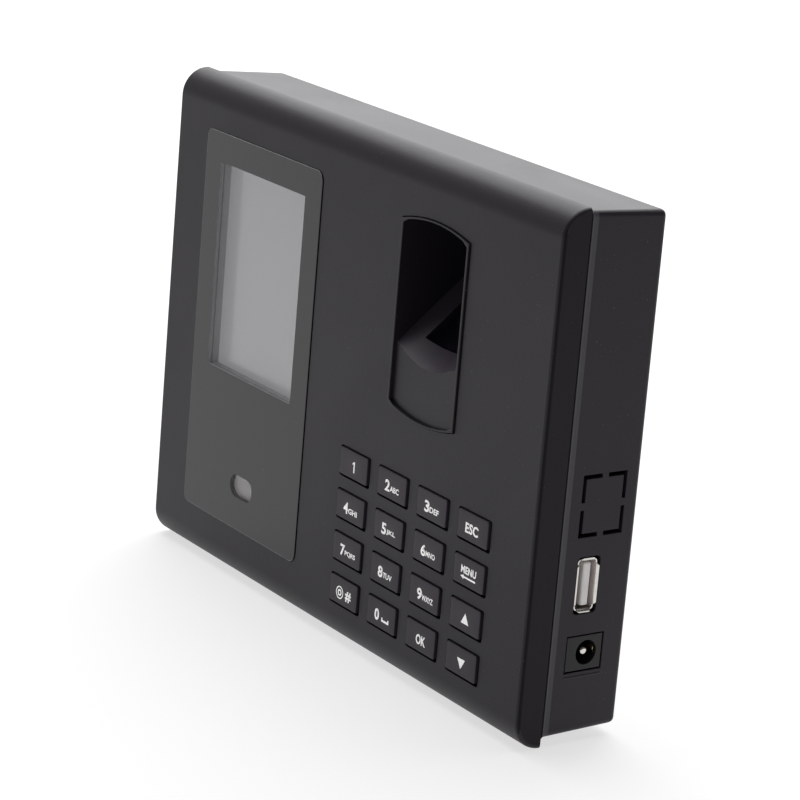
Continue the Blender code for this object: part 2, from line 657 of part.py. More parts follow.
def make_scanner_module():
    """Prism with the window on top, the box that holds it, and the camera and its board below."""
    stop = APERTURE_START + APERTURE_LENGTH
    prism = ramp_box("scanner_prism", APERTURE_WIDTH - 2 * GAP, (APERTURE_START + GAP, stop - GAP),
                     (PRISM_TOP, PRISM_BOTTOM), PRISM_GLASS)
    for vertex in prism.data.vertices:
        if vertex.co.z < 0:
            vertex.co.y *= 0.72
    box_top = RAMP_WALL + GAP
    box = ramp_box("scanner_housing", APERTURE_WIDTH + 3.0, (APERTURE_START - 1.4, stop + 1.3),
                   (box_top, PRISM_BOTTOM + 1.9), PLASTIC_BLACK)
    pocket = ramp_box("prism_pocket", APERTURE_WIDTH, (APERTURE_START, stop), (box_top - 2, PRISM_BOTTOM + GAP))
    middle = (APERTURE_START + stop) / 2
    sight = on_ramp(rod("camera_sight", (0, 0, -6), 12, 4.2, "Z"), middle, PRISM_BOTTOM + 1)
    cut(box, pocket, sight)
    on_ramp(rod("scanner_camera", (0, 0, -0.75), 1.5, 3.6, "Z", PLASTIC_BLACK), middle, PRISM_BOTTOM + 1.15)
    ramp_box("scanner_board", APERTURE_WIDTH + 2, (APERTURE_START - 1, stop - 4),
             (PRISM_BOTTOM + 2.2, PRISM_BOTTOM + 3.4), BOARD_GREEN)


# ---------------------------------------------------------------- boards and what is on them

def board_block(name, rectangle, front, back, material):
    """A box that stands on a board: (left, bottom, right, top), and its front and back depth."""
    left, bottom, right, top = rectangle
    return block(name, (left, FRONT + front, bottom), (right, FRONT + back, top), material)


def make_boards():
    """Front board behind the keypad, main board behind it, and the header that links them."""
    outline = [(-64, 6), (79.4, 6), (79.4, 62), (-16, 62), (-16, 46), (-64, 46)]
    front_board = plate("front_board", [outline], "Y", FRONT + FRONT_BOARD_DEPTH,
                        FRONT + FRONT_BOARD_DEPTH + BOARD_THICK, BOARD_GREEN)
    holes = gather([rod(f"front_board_hole_{right}", (right, FRONT + 5, up), 6, 1.6, segments=16)
                    for right, up in FRONT_BOARD_SCREWS])
    cut(front_board, holes)
    main_board = board_block("main_board", MAIN_BOARD, MAIN_BOARD_DEPTH, MAIN_BOARD_BACK, BOARD_GREEN)
    holes = gather([rod(f"main_board_hole_{right}", (right, FRONT + 10, up), 6, 1.6, segments=16)
                    for right, up in MAIN_BOARD_SCREWS])
    cut(main_board, holes)
    board_block("board_link", (30, 55, 50, 60), FRONT_BOARD_DEPTH + BOARD_THICK + GAP,
                MAIN_BOARD_DEPTH - GAP, PLASTIC_BLACK)
    header = board_block("wire_header", (8, 38, 24, 46), MAIN_BOARD_BACK + GAP, 22.5, PLASTIC_WHITE)
    mouth = board_block("header_mouth", (9, 39, 23, 45), 15.5, 24, None)
    cut(header, mouth)


def make_battery():
    """Coin cell that keeps the clock, in a round holder on the main board."""
    right, up = BATTERY_CENTRE
    front = FRONT + MAIN_BOARD_BACK + GAP
    holder = rod("battery_holder", (right, front, up), 4.2, BATTERY_RADIUS + 1.8, "Y", PLASTIC_BLACK,
                 segments=48)
    pocket = rod("battery_pocket", (right, front + 0.8, up), 8, BATTERY_RADIUS + GAP + 0.1, segments=48)
    cut(holder, pocket)
    rod("clock_battery", (right, front + 1.1, up), 3.2, BATTERY_RADIUS, "Y", NICKEL, segments=48)


def make_speaker():
    """Small round speaker behind the sound holes: a frame with a magnet."""
    right, up = SPEAKER_CENTRE
    back = BACK - WALL - GAP
    speaker = rod("speaker", (right, back - 3.6, up), 3.6, 13.0, "Y", PLASTIC_BLACK, segments=48)
    magnet = rod("speaker_magnet", (right, back - 6.4, up), 3.4, 6.5, segments=32)
    dish = rod("speaker_dish", (right, back - 1.4, up), 3.0, 9.0, end_radius=13.5, segments=48)
    join(speaker, magnet)
    cut(speaker, dish)


# ---------------------------------------------------------------- inlets

def make_usb_inlet():
    """Host socket: a bent steel shell, a plastic tongue, and four flat contacts in front of it."""
    mouth = side_at(USB_SHELL[1]) - USB_SUNK
    inner_end = mouth - INLET_LENGTH
    height, front, back = USB_SHELL
    outer = (FRONT + front, USB_HEIGHT - height / 2, FRONT + back, USB_HEIGHT + height / 2)
    shell = plate("usb_shell", [rounded(outer, 0.9, 3)], "X", inner_end, mouth, STEEL)
    bore = plate("usb_bore", [rounded(grown(outer, -USB_SHEET), 0.5, 3)], "X", inner_end + 0.6, mouth + 2)
    cut(shell, bore)
    tongue_front = FRONT + front + 2.1
    block("usb_tongue", (inner_end + 0.9, tongue_front, USB_HEIGHT - 5.6),
          (mouth - 1.0, tongue_front + 1.85, USB_HEIGHT + 5.6), PLASTIC_WHITE)
    for number, offset in enumerate((3.5, 1.0, -1.0, -3.5), start=1):
        up = USB_HEIGHT + offset
        block(f"usb_contact_{number}", (inner_end + 1.5, tongue_front - GAP - 0.25, up - 0.5),
              (mouth - 1.6, tongue_front - GAP, up + 0.5), BRASS)


def make_dc_jack():
    """Power inlet: a square moulded body, its centre pin, and the spring that touches the plug's sleeve."""
    mouth = side_at(JACK_BORE_DEPTH) - JACK_SUNK
    inner_end = mouth - INLET_LENGTH
    depth = FRONT + JACK_BORE_DEPTH
    body = block("dc_jack_body", (inner_end, FRONT + JACK_DEPTHS[0], JACK_HEIGHT - JACK_WIDTH / 2),
                 (mouth, FRONT + JACK_DEPTHS[1], JACK_HEIGHT + JACK_WIDTH / 2), PLASTIC_BLACK)
    half_depth = (JACK_DEPTHS[1] - JACK_DEPTHS[0]) / 2 * MM
    tilt = SIDE_DRAFT / (HOUSING_DEPTH - SEAM_GAP)
    for vertex in body.data.vertices:
        if vertex.co.x > 0:
            vertex.co.x -= math.copysign(half_depth, vertex.co.y) * tilt
    bore = rod("jack_bore", (mouth - 9.5, depth, JACK_HEIGHT), 12, JACK_BORE, "X")
    slot = block("jack_spring_slot", (mouth - 8.5, depth + 2, JACK_HEIGHT - 1.3),
                 (mouth - 1.5, FRONT + JACK_DEPTHS[1] - 0.7, JACK_HEIGHT + 1.3))
    cut(body, bore, slot)
    tip = mouth - JACK_PIN_SUNK
    pin = rod("dc_jack_pin", (tip - JACK_PIN_LENGTH, depth, JACK_HEIGHT), JACK_PIN_LENGTH, JACK_PIN_RADIUS, "X",
              NICKEL, segments=24)
    round_edges(pin, 0.6, 4, lambda a, b: near(a.x, tip) and near(b.x, tip))
    leaf = [(mouth - 8.2, depth + 3.3), (mouth - 5.0, depth + 2.5), (mouth - 1.8, depth + 3.3)]
    strip = [(across, back) for across, back in leaf]
    strip += [(across, back + 0.35) for across, back in reversed(leaf)]
    plate("dc_jack_spring", [strip], "Z", JACK_HEIGHT - 1.0, JACK_HEIGHT + 1.0, BRASS)


# ---------------------------------------------------------------- screws

def make_screw(name, place_at, head_depth, head_height, shank_length, head_radius):
    """A pan-head screw that points to the front, with a cross cut into its head."""
    right, up = place_at
    seat = FRONT + head_depth
    screw = rod(name, (right, seat, up), head_height, head_radius, "Y", STEEL, end_radius=head_radius * 0.86,
                segments=20)
    shank = rod(f"{name}_shank", (right, seat - shank_length, up), shank_length + head_height / 2,
                SCREW_SHANK - 0.2, segments=12)
    blades = [block(f"{name}_blade", (right - width, seat + head_height * 0.45, up - height),
                    (right + width, seat + head_height + 1, up + height))
              for width, height in ((head_radius * 0.55, 0.3), (0.3, head_radius * 0.55))]
    join(screw, shank)
    cut(screw, *blades)


def make_screws():
    """Four through the case from the back, four on each board."""
    for number, spot in enumerate(CASE_SCREWS, start=1):
        make_screw(f"case_screw_{number}", spot, CASE_SEAT_DEPTH + GAP, 2.0, 8.0, 2.3)
    for number, spot in enumerate(FRONT_BOARD_SCREWS, start=1):
        make_screw(f"front_board_screw_{number}", spot, FRONT_BOARD_DEPTH + BOARD_THICK + GAP, 1.5, 5.0, 2.0)


def make_main_board_screws():
    """These four point to the back, into the housing's posts, so each is turned round."""
    for number, (right, up) in enumerate(MAIN_BOARD_SCREWS, start=1):
        name = f"main_board_screw_{number}"
        seat = FRONT + MAIN_BOARD_DEPTH - GAP
        screw = rod(name, (right, seat - 1.5, up), 1.5, 1.7, "Y", STEEL, end_radius=2.0, segments=20)
        shank = rod(f"{name}_shank", (right, seat - 0.7, up), 6.5, SCREW_SHANK - 0.2, segments=12)
        blades = [block(f"{name}_blade", (right - width, seat - 3, up - height),
                        (right + width, seat - 0.7, up + height)) for width, height in ((1.1, 0.3), (0.3, 1.1))]
        join(screw, shank)
        cut(screw, *blades)


make_front_cover()
make_rear_housing()
make_display()
make_status_light()
make_keys()
make_keypad_mat()
make_scanner_surround()
make_scanner_module()
make_boards()
make_battery()
make_speaker()
make_usb_inlet()
make_dc_jack()
make_screws()
make_main_board_screws()
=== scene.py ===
import math

import bmesh
import bpy
from mathutils import Matrix, Vector


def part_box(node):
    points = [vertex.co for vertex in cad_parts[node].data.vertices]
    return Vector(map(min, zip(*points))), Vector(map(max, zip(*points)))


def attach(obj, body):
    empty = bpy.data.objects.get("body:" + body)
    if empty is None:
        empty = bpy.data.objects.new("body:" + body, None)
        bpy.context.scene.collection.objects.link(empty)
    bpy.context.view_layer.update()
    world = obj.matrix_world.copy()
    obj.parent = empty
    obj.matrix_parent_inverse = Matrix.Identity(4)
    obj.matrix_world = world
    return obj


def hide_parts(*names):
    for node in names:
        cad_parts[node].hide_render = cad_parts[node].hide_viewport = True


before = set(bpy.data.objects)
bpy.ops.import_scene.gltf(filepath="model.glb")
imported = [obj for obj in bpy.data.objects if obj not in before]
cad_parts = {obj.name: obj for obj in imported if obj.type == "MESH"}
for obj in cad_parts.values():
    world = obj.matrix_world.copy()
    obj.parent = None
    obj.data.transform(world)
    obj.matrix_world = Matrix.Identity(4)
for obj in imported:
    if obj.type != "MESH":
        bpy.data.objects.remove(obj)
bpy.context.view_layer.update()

# ------------------------------------------------------------------ front cover
# One injection moulding in black ABS, with a fine spark-eroded texture that leaves it matt.
# Its long edges are rounded over the whole depth, its ends nearly square, and the openings
# for the lens, the light, the keys and the scanner are moulded in. Screws pull it to the housing.

MM = 0.001
ABS_BLACK = (0.0150, 0.0118, 0.0166)
ABS_ROUGHNESS = 0.47
ABS_SHINE = 0.26
SPARK_TEXTURE = 0.035 * MM
COVER_EDGE = 0.16 * MM
COVER_END = 1.0 * MM
HAIR = 0.01 * MM
TERMINAL = "terminal"


class Signal:
    """A value inside a material. Arithmetic on it adds Math nodes."""

    def __init__(self, socket):
        self.socket = socket

    def work_out(self, operation, *values):
        tree = self.socket.id_data
        maths = tree.nodes.new("ShaderNodeMath")
        maths.operation = operation
        for place, value in zip(maths.inputs, values):
            if isinstance(value, Signal):
                tree.links.new(value.socket, place)
            else:
                place.default_value = value
        return Signal(maths.outputs[0])

    def __add__(self, other):
        return self.work_out("ADD", self, other)

    __radd__ = __add__

    def __sub__(self, other):
        return self.work_out("SUBTRACT", self, other)

    def __rsub__(self, other):
        return self.work_out("SUBTRACT", other, self)

    def __mul__(self, other):
        return self.work_out("MULTIPLY", self, other)

    __rmul__ = __mul__

    def __abs__(self):
        return self.work_out("ABSOLUTE", self)


class Finish:
    """A material with one Principled shader. Plain values stay on the shader's own sockets."""

    def __init__(self, name, **fixed):
        self.material = bpy.data.materials.new(name)
        self.material.use_nodes = True
        self.tree = self.material.node_tree
        self.shader = self.tree.nodes["Principled BSDF"]
        for socket, value in fixed.items():
            self.shader.inputs[socket.replace("_", " ")].default_value = value

    def node(self, kind, settings=None, sockets=None, output=0):
        """Any node: its settings are made first, then the values or links of its sockets."""
        made = self.tree.nodes.new("ShaderNode" + kind)
        for name, value in (settings or {}).items():
            setattr(made, name, value)
        for name, value in (sockets or {}).items():
            if isinstance(value, Signal):
                self.tree.links.new(value.socket, made.inputs[name])
            else:
                made.inputs[name].default_value = value
        return Signal(made.outputs[output])

    def place(self):
        return self.node("TexCoord", output="Object")

    def noise(self, place, scale, detail=2.0, distortion=0.0, roughness=0.5):
        return self.node("TexNoise", {"noise_dimensions": "3D"}, {
            "Vector": place, "Scale": scale, "Detail": detail, "Roughness": roughness,
            "Distortion": distortion})

    def step(self, value, low, high):
        """0 below low and 1 above high, with a soft step between them."""
        return self.node("MapRange", {"interpolation_type": "SMOOTHSTEP"},
                         {"Value": value, "From Min": low, "From Max": high})

    def mix(self, share, first, second):
        """A colour between two colours."""
        colours = [c if isinstance(c, Signal) else (*c, 1.0) for c in (first, second)]
        return self.node("Mix", {"data_type": "RGBA"}, {0: share, 6: colours[0], 7: colours[1]},
                         output=2)

    def axes(self, place):
        split = self.node("SeparateXYZ", sockets={"Vector": place}).socket.node
        return [Signal(socket) for socket in split.outputs]

    def feed(self, socket, value):
        self.tree.links.new(value.socket, self.shader.inputs[socket])

    def bump(self, height, depth, strength=1.0):
        self.feed("Normal", self.node("Bump", sockets={"Height": height, "Distance": depth,
                                                       "Strength": strength}))


def shade(colour, factor):
    return tuple(channel * factor for channel in colour)


def moulded_plastic(name, colour, roughness, texture, grain=2300.0, painted_highlight=None, shine=ABS_SHINE):
    """Textured ABS: slow clouding of the melt, a fine even grain, wiped patches and a little dust.

    worn, if there is one, gives a share of the surface and the paler colour painted there as a highlight.
    """
    finish = Finish(name, Specular_IOR_Level=shine)
    place = finish.place()
    clouding = finish.noise(place, 36.0, 3.0)
    sparks = finish.noise(place, grain, 2.0, roughness=0.6)
    wiped = finish.noise(place, 17.0, 4.0, distortion=1.2)
    dust = finish.step(finish.noise(place, 1500.0, 1.0), 0.74, 0.80)
    toned = finish.mix(clouding, shade(colour, 0.86), shade(colour, 1.14))
    speckled = finish.mix(sparks, shade(colour, 0.90), shade(colour, 1.10))
    body = finish.mix(0.4, toned, speckled)
    if painted_highlight:
        share, highlight_colour = painted_highlight(finish, place)
        body = finish.mix(share, body, highlight_colour)
    finish.feed("Base Color", finish.mix(dust * 0.25, body, (0.20, 0.19, 0.18)))
    finish.feed("Roughness", roughness + (wiped - 0.5) * 0.14 + (sparks - 0.5) * 0.06 + dust * 0.1)
    finish.bump(sparks, texture)
    return finish


def is_sharp(edge, angle):
    return len(edge.link_faces) == 2 and edge.calc_face_angle(0.0) > math.radians(angle)


def settle(piece, finish, body, *nodes):
    """Gives a finished piece its material, the body that it moves with, and the solids it stands for."""
    bpy.context.scene.collection.objects.link(piece)
    piece.data.materials.clear()
    piece.data.materials.append(finish.material)
    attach(piece, body)
    if nodes:
        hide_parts(*nodes)
    return piece


def level_faces(piece, angle=35.0):
    """Smooth shading on round stretches, with flat faces kept flat and hard edges kept hard."""
    piece.data.shade_smooth()
    piece.data.set_sharp_from_angle(angle=math.radians(angle))
    level = piece.modifiers.new("level_faces", "WEIGHTED_NORMAL")
    level.keep_sharp = True
    level.weight = 100


def refine(node, finish, edge=0.0, chosen=None, angle=35.0, segments=2):
    """A finer piece in a solid's place: flat faces made whole, chosen edges rounded, smooth curves."""
    shape = bmesh.new()
    shape.from_mesh(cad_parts[node].data)
    bmesh.ops.remove_doubles(shape, verts=shape.verts, dist=0.002 * MM)
    bmesh.ops.dissolve_limit(shape, angle_limit=math.radians(1.0), verts=shape.verts, edges=shape.edges)
    if edge:
        picked = [e for e in shape.edges if is_sharp(e, angle) and (chosen is None or chosen(e))]
        bmesh.ops.bevel(shape, geom=picked, offset=edge, segments=segments, profile=0.5, affect="EDGES",
                        clamp_overlap=False)
    mesh = bpy.data.meshes.new(node + "_shape")
    shape.to_mesh(mesh)
    shape.free()
    if "custom_normal" in mesh.attributes:
        mesh.attributes.remove(mesh.attributes["custom_normal"])
    piece = bpy.data.objects.new(node + "_shape", mesh)
    settle(piece, finish, TERMINAL, node)
    level_faces(piece, angle)
    return piece


def lies_at(edge, axis, height):
    return all(abs(vertex.co[axis] - height) < 0.02 * MM for vertex in edge.verts)


cover_low, cover_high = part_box("front_cover")
FACE = cover_low.y
SEAM = cover_high.y


def assign(piece, finish, chosen):
    """A second finish on the faces that a test picks by their middle and their normal."""
    piece.data.materials.append(finish.material)
    for face in piece.data.polygons:
        if chosen(face.center, face.normal):
            face.material_index = len(piece.data.materials) - 1


case_plastic = moulded_plastic("matt_black_abs", ABS_BLACK, ABS_ROUGHNESS, SPARK_TEXTURE)
# The flat ends get a darker, duller copy of the case plastic: painted shade on the side faces.
end_painted_shade = moulded_plastic("fine_black_end", shade(ABS_BLACK, 0.9), 0.5, SPARK_TEXTURE * 0.6, shine=0.16)
# The rounding between the face and each end gets a very dark, dull copy of the plastic: a painted shade
# line.
rounding_painted_shade = moulded_plastic("polished_black_end", shade(ABS_BLACK, 0.45), 0.6, SPARK_TEXTURE, shine=0.14)
cover = refine("front_cover", case_plastic, COVER_EDGE, lambda e: lies_at(e, 1, FACE))
assign(cover, end_painted_shade, lambda middle, normal: (abs(middle.x) > cover_high.x - HAIR
                                                and abs(normal.x) > 0.98))
assign(cover, rounding_painted_shade, lambda middle, normal: (abs(middle.x) > cover_high.x - COVER_END - HAIR
                                                and middle.y < FACE + COVER_END and abs(normal.x) > 0.6
                                                and normal.y < -0.1))

# ------------------------------------------------------------------ finger scanner
# A moulded insert clips in from behind: a thin proud rim, a dark tunnel, and a sloping rest with a
# groove for the fingertip. Under its opening sits a glass prism with a dark coated top, held in a
# black box, with a small camera and its board below it.

RIM_EDGE = 0.20 * MM
RIM_WIDTH = 30.3 * MM
RIM_HEIGHT = 47.5 * MM
RIM_BOW = 2.1 * MM
RIM_WALL = 0.9 * MM
RIM_THINNED = 0.6 * MM
RIM_GROWN = 0.18 * MM
RIM_DEPTH = 2 * MM
RIM_NEAR = 0.3 * MM
RAMP_START = 1.2 * MM
GLASS_TONE = (0.006, 0.006, 0.010)
COATING_TONE = (0.020, 0.017, 0.034)

surround_low, surround_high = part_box("scanner_surround")
scanner_plastic = moulded_plastic("satin_black_abs", shade(ABS_BLACK, 0.9), ABS_ROUGHNESS - 0.04,
                                  SPARK_TEXTURE * 0.7)
surround = refine("scanner_surround", scanner_plastic, RIM_EDGE, lambda e: lies_at(e, 1, surround_low.y),
                  angle=28.0)
rim_middle = (surround_low + surround_high) / 2


def bow_height(inset, across):
    """How far above the middle the rim's bowed outline is, at a place across it."""
    half, side = RIM_WIDTH / 2 - inset, RIM_HEIGHT / 2 - inset
    radius = (half ** 2 + RIM_BOW ** 2) / (2 * RIM_BOW)
    return side + RIM_BOW - radius + math.sqrt(radius ** 2 - min(abs(across), half) ** 2)


for vertex in surround.data.vertices:
    across, up = vertex.co.x - rim_middle.x, vertex.co.z - rim_middle.z
    inside = abs(across) < RIM_WIDTH / 2 - RIM_WALL + 0.05 * MM
    if inside and -RIM_NEAR < abs(up) - bow_height(RIM_WALL, across) < RIM_WALL / 2:
        vertex.co.z += math.copysign(RIM_THINNED, up)
    elif vertex.co.y < FACE + RIM_DEPTH and abs(abs(up) - bow_height(0, across)) < RIM_NEAR:
        vertex.co.z += math.copysign(RIM_GROWN, up)
# The faces of the sloping rest that look upwards get a much paler, shinier copy of the plastic: painted
# light from above.
ramp_painted_light = moulded_plastic("ramp_black_abs", shade(ABS_BLACK, 3.2), 0.4, SPARK_TEXTURE * 0.5, shine=0.4)
assign(surround, ramp_painted_light, lambda middle, normal: (normal.z > 0.25 and normal.y < -0.2
                                                       and middle.y > FACE + RAMP_START))


def coated_glass():
    """Polished glass with a violet coating, a faint skin print and wipe marks."""
    finish = Finish("coated_prism_glass", Coat_Weight=0.6, Coat_Roughness=0.02)
    place = finish.place()
    smear = finish.noise(place, 160.0, 4.0, distortion=2.0)
    ridges = finish.noise(place, 1400.0, 1.0, distortion=3.0)
    print_mask = finish.step(smear, 0.45, 0.65)
    finish.feed("Base Color", finish.mix(print_mask * 0.7, GLASS_TONE, COATING_TONE))
    finish.feed("Roughness", 0.05 + print_mask * 0.12 + print_mask * ridges * 0.1)
    finish.bump(ridges, 0.002 * MM, 0.4)
    return finish


def unfilled_plastic(name, colour, roughness):
    """Smooth moulded plastic of a small part: flow marks, and a soft unevenness from the tool."""
    finish = Finish(name)
    place = finish.place()
    flow = finish.noise(place, 120.0, 3.0, distortion=0.8)
    pits = finish.noise(place, 1100.0, 2.0)
    finish.feed("Base Color", finish.mix(flow, shade(colour, 0.84), shade(colour, 1.12)))
    finish.feed("Roughness", roughness + (flow - 0.5) * 0.16)
    finish.bump(pits, 0.012 * MM, 0.6)
    return finish


prism_glass = coated_glass()
refine("scanner_prism", prism_glass, 0.3 * MM, segments=1)
inner_black = unfilled_plastic("glass_filled_black", (0.014, 0.014, 0.015), 0.42)
refine("scanner_housing", inner_black, 0.15 * MM)
refine("scanner_camera", inner_black, 0.12 * MM)

# ------------------------------------------------------------------ circuit boards
# Glass fibre boards under green solder mask, with tinned tracks that show as faint raised lines.
# The small one holds the scanner's camera, the front one the keypad contacts, and the main one
# the inlets, the clock's coin cell and the header for the wires.


def solder_mask():
    """Green mask: a woven fibre pattern below, tracks as narrow raised lines, and tinned pads."""
    finish = Finish("green_solder_mask", Coat_Weight=0.35, Coat_Roughness=0.12)
    place = finish.place()
    weave = finish.node("TexWave", {"bands_direction": "DIAGONAL"},
                        {"Vector": place, "Scale": 420.0, "Distortion": 0.6})
    tracks = finish.node("TexBrick", {"offset": 0.37, "squash": 1.0}, {
        "Vector": place, "Scale": 150.0, "Mortar Size": 0.09, "Mortar Smooth": 0.1, "Brick Width": 0.9,
        "Row Height": 0.3}, output="Fac")
    pads = finish.node("TexVoronoi", {"feature": "F1"}, {"Vector": place, "Scale": 260.0,
                                                         "Randomness": 0.2})
    pad_mask = 1 - finish.step(pads, 0.16, 0.20)
    mask_green = finish.mix(weave, (0.008, 0.070, 0.028), (0.012, 0.095, 0.040))
    tracked = finish.mix(tracks * 0.8, mask_green, (0.020, 0.150, 0.065))
    finish.feed("Base Color", finish.mix(pad_mask, tracked, (0.62, 0.61, 0.58)))
    finish.feed("Metallic", pad_mask * 0.9)
    finish.feed("Roughness", 0.42 - pad_mask * 0.14 + weave * 0.05)
    finish.bump(tracks + pad_mask, 0.03 * MM)
    return finish


def dress(node, finish):
    """Gives a solid whose shape is right already its real finish."""
    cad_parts[node].material_slots[0].material = finish.material


board_finish = solder_mask()
for board in ("front_board", "main_board", "scanner_board"):
    dress(board, board_finish)

refine("board_link", inner_black, 0.2 * MM)
natural_nylon = unfilled_plastic("natural_nylon", (0.62, 0.60, 0.55), 0.48)
refine("wire_header", natural_nylon, 0.2 * MM)


def bare_metal(name, colour, roughness, brush=(1.0, 1.0, 1.0), marks=700.0):
    """Plated or bare metal: fine lines along the way it was worked, and a dull bloom in patches."""
    finish = Finish(name)
    place = finish.place()
    stretched = finish.node("VectorMath", {"operation": "MULTIPLY"}, {0: place, 1: brush})
    lines = finish.noise(stretched, marks, 3.0)
    bloom = finish.noise(place, 240.0, 3.0, distortion=0.6)
    finish.feed("Base Color", finish.mix(bloom, shade(colour, 0.78), shade(colour, 1.08)))
    finish.feed("Roughness", roughness + (lines - 0.5) * 0.18 + (bloom - 0.5) * 0.10)
    finish.shader.inputs["Metallic"].default_value = 1.0
    finish.bump(lines, 0.004 * MM, 0.7)
    return finish


nickel_plate = bare_metal("bright_nickel", (0.74, 0.71, 0.66), 0.20)
refine("battery_holder", inner_black, 0.25 * MM)
refine("clock_battery", nickel_plate, 0.3 * MM)
refine("speaker", inner_black, 0.25 * MM)

# ------------------------------------------------------------------ display
# A small portrait display lies in a pressed steel tray, with a foam frame between it and the lens.
# The lens is one acrylic sheet, printed black behind except for the window and an oval for the
# lamp, polished at its edge and glued into a recess of the cover, a little proud of it.

LCD_TONE = (0.22, 0.22, 0.228)
# The display's faint glow is painted light that evens out its shading.
LCD_PAINTED_GLOW = 0.15
FOAM_TONE = (0.270, 0.268, 0.280)
EDGE_HIGHLIGHT_TONE = (0.30, 0.30, 0.31)
PRINT_TONE = (0.009, 0.009, 0.011)
LENS_EDGE = 0.12 * MM
LENS_CORNER = 2.6 * MM
LENS_GROWTH = 0.27 * MM
WINDOW_CORNER = 0.3 * MM


def display_glass():
    """An idle panel: pale polariser over rows of fine dots. It glows faintly: painted light that evens out
    its shading.
    """
    finish = Finish("idle_display", Coat_Weight=0.5, Coat_Roughness=0.08,
                    Emission_Color=(1.0, 1.0, 1.03, 1.0), Emission_Strength=LCD_PAINTED_GLOW)
    place = finish.place()
    across, _, up = finish.axes(place)
    rows = finish.node("TexWave", {"bands_direction": "Z"}, {"Vector": place, "Scale": 1000.0})
    tint = finish.noise(place, 26.0, 2.0)
    fade = finish.step(up, 0.055, 0.118)
    lit = finish.mix(fade * 0.6 + tint * 0.25, shade(LCD_TONE, 1.06), shade(LCD_TONE, 0.92))
    finish.feed("Base Color", finish.mix(rows * 0.05, lit, shade(LCD_TONE, 0.8)))
    finish.feed("Roughness", 0.26 + tint * 0.08)
    return finish


def open_foam():
    """Die-cut foam: small open cells that darken it unevenly."""
    finish = Finish("grey_foam")
    place = finish.place()
    cells = finish.node("TexVoronoi", {"feature": "F1"}, {"Vector": place, "Scale": 2600.0})
    finish.feed("Base Color", finish.mix(cells, shade(FOAM_TONE, 0.80), shade(FOAM_TONE, 1.15)))
    finish.feed("Roughness", 0.86 + cells * 0.1)
    finish.bump(cells, 0.06 * MM)
    return finish


def printed_acrylic():
    """Acrylic over black print: mirror-smooth, with faint wipe marks and a few grains of dust."""
    finish = Finish("printed_acrylic", Specular_IOR_Level=0.36)
    place = finish.place()
    wipes = finish.noise(place, 30.0, 4.0, distortion=1.6)
    dust = finish.step(finish.noise(place, 1300.0, 1.0), 0.76, 0.82)
    inked = finish.mix(wipes, shade(PRINT_TONE, 0.8), shade(PRINT_TONE, 1.25))
    finish.feed("Base Color", finish.mix(dust * 0.3, inked, (0.25, 0.24, 0.23)))
    finish.feed("Roughness", 0.045 + wipes * 0.05 + dust * 0.3)
    return finish


def clear_acrylic():
    """The unprinted part of the sheet: nearly all light goes through, and its surface still shines."""
    finish = Finish("clear_acrylic")
    finish.material.surface_render_method = "BLENDED"
    place = finish.place()
    wipes = finish.noise(place, 34.0, 4.0, distortion=1.6)
    finish.feed("Base Color", finish.mix(wipes, (0.32, 0.32, 0.33), (0.42, 0.42, 0.43)))
    finish.feed("Roughness", 0.04 + wipes * 0.05)
    finish.feed("Alpha", 0.10 + wipes * 0.04)
    return finish


def arc_points(centre, radius, first, last, steps):
    """Points on a circle between two angles in degrees, as (right, up)."""
    turns = [math.radians(first + (last - first) * step / steps) for step in range(steps + 1)]
    return [(centre[0] + radius * math.cos(turn), centre[1] + radius * math.sin(turn)) for turn in turns]


def rounded_outline(left, bottom, right, top, radius, steps=6):
    """A rectangle with round corners, anticlockwise from the top right corner."""
    corners = ((right - radius, top - radius, 0), (left + radius, top - radius, 90),
               (left + radius, bottom + radius, 180), (right - radius, bottom + radius, 270))
    outline = []
    for across, up, first in corners:
        outline += arc_points((across, up), radius, first, first + 90, steps)
    return outline


def curve_faces(curve):
    """The faces that a curve makes, as a mesh."""
    guide = bpy.data.objects.new(curve.name + "_guide", curve)
    bpy.context.scene.collection.objects.link(guide)
    bpy.context.view_layer.update()
    mesh = bpy.data.meshes.new_from_object(guide.evaluated_get(bpy.context.evaluated_depsgraph_get()))
    bpy.data.objects.remove(guide)
    return mesh


def outline_faces(*outlines, extrude=0.0):
    """Outlines of (right, up) points as flat faces; an outline inside another one is a hole."""
    curve = bpy.data.curves.new("outlines", "CURVE")
    curve.dimensions = "2D"
    curve.fill_mode = "BOTH"
    curve.extrude = extrude
    for outline in outlines:
        spline = curve.splines.new("POLY")
        spline.points.add(len(outline) - 1)
        for point, (right, up) in zip(spline.points, outline):
            point.co = (right, up, 0.0, 1.0)
        spline.use_cyclic_u = True
    return curve_faces(curve)


def upright_plate(name, outlines, front, back):
    """Outlines of (right, up) points made into a plate that faces forward."""
    mesh = outline_faces(*outlines, extrude=(back - front) / 2)
    shape = bmesh.new()
    shape.from_mesh(mesh)
    bmesh.ops.remove_doubles(shape, verts=shape.verts, dist=0.001 * MM)
    turn = Matrix.Translation((0, (front + back) / 2, 0)) @ Matrix.Rotation(math.radians(90), 4, "X")
    bmesh.ops.transform(shape, matrix=turn, verts=shape.verts)
    bmesh.ops.dissolve_limit(shape, angle_limit=math.radians(0.5), verts=shape.verts, edges=shape.edges)
    bmesh.ops.recalc_face_normals(shape, faces=shape.faces)
    shape.to_mesh(mesh)
    shape.free()
    mesh.name = name
    return bpy.data.objects.new(name, mesh)


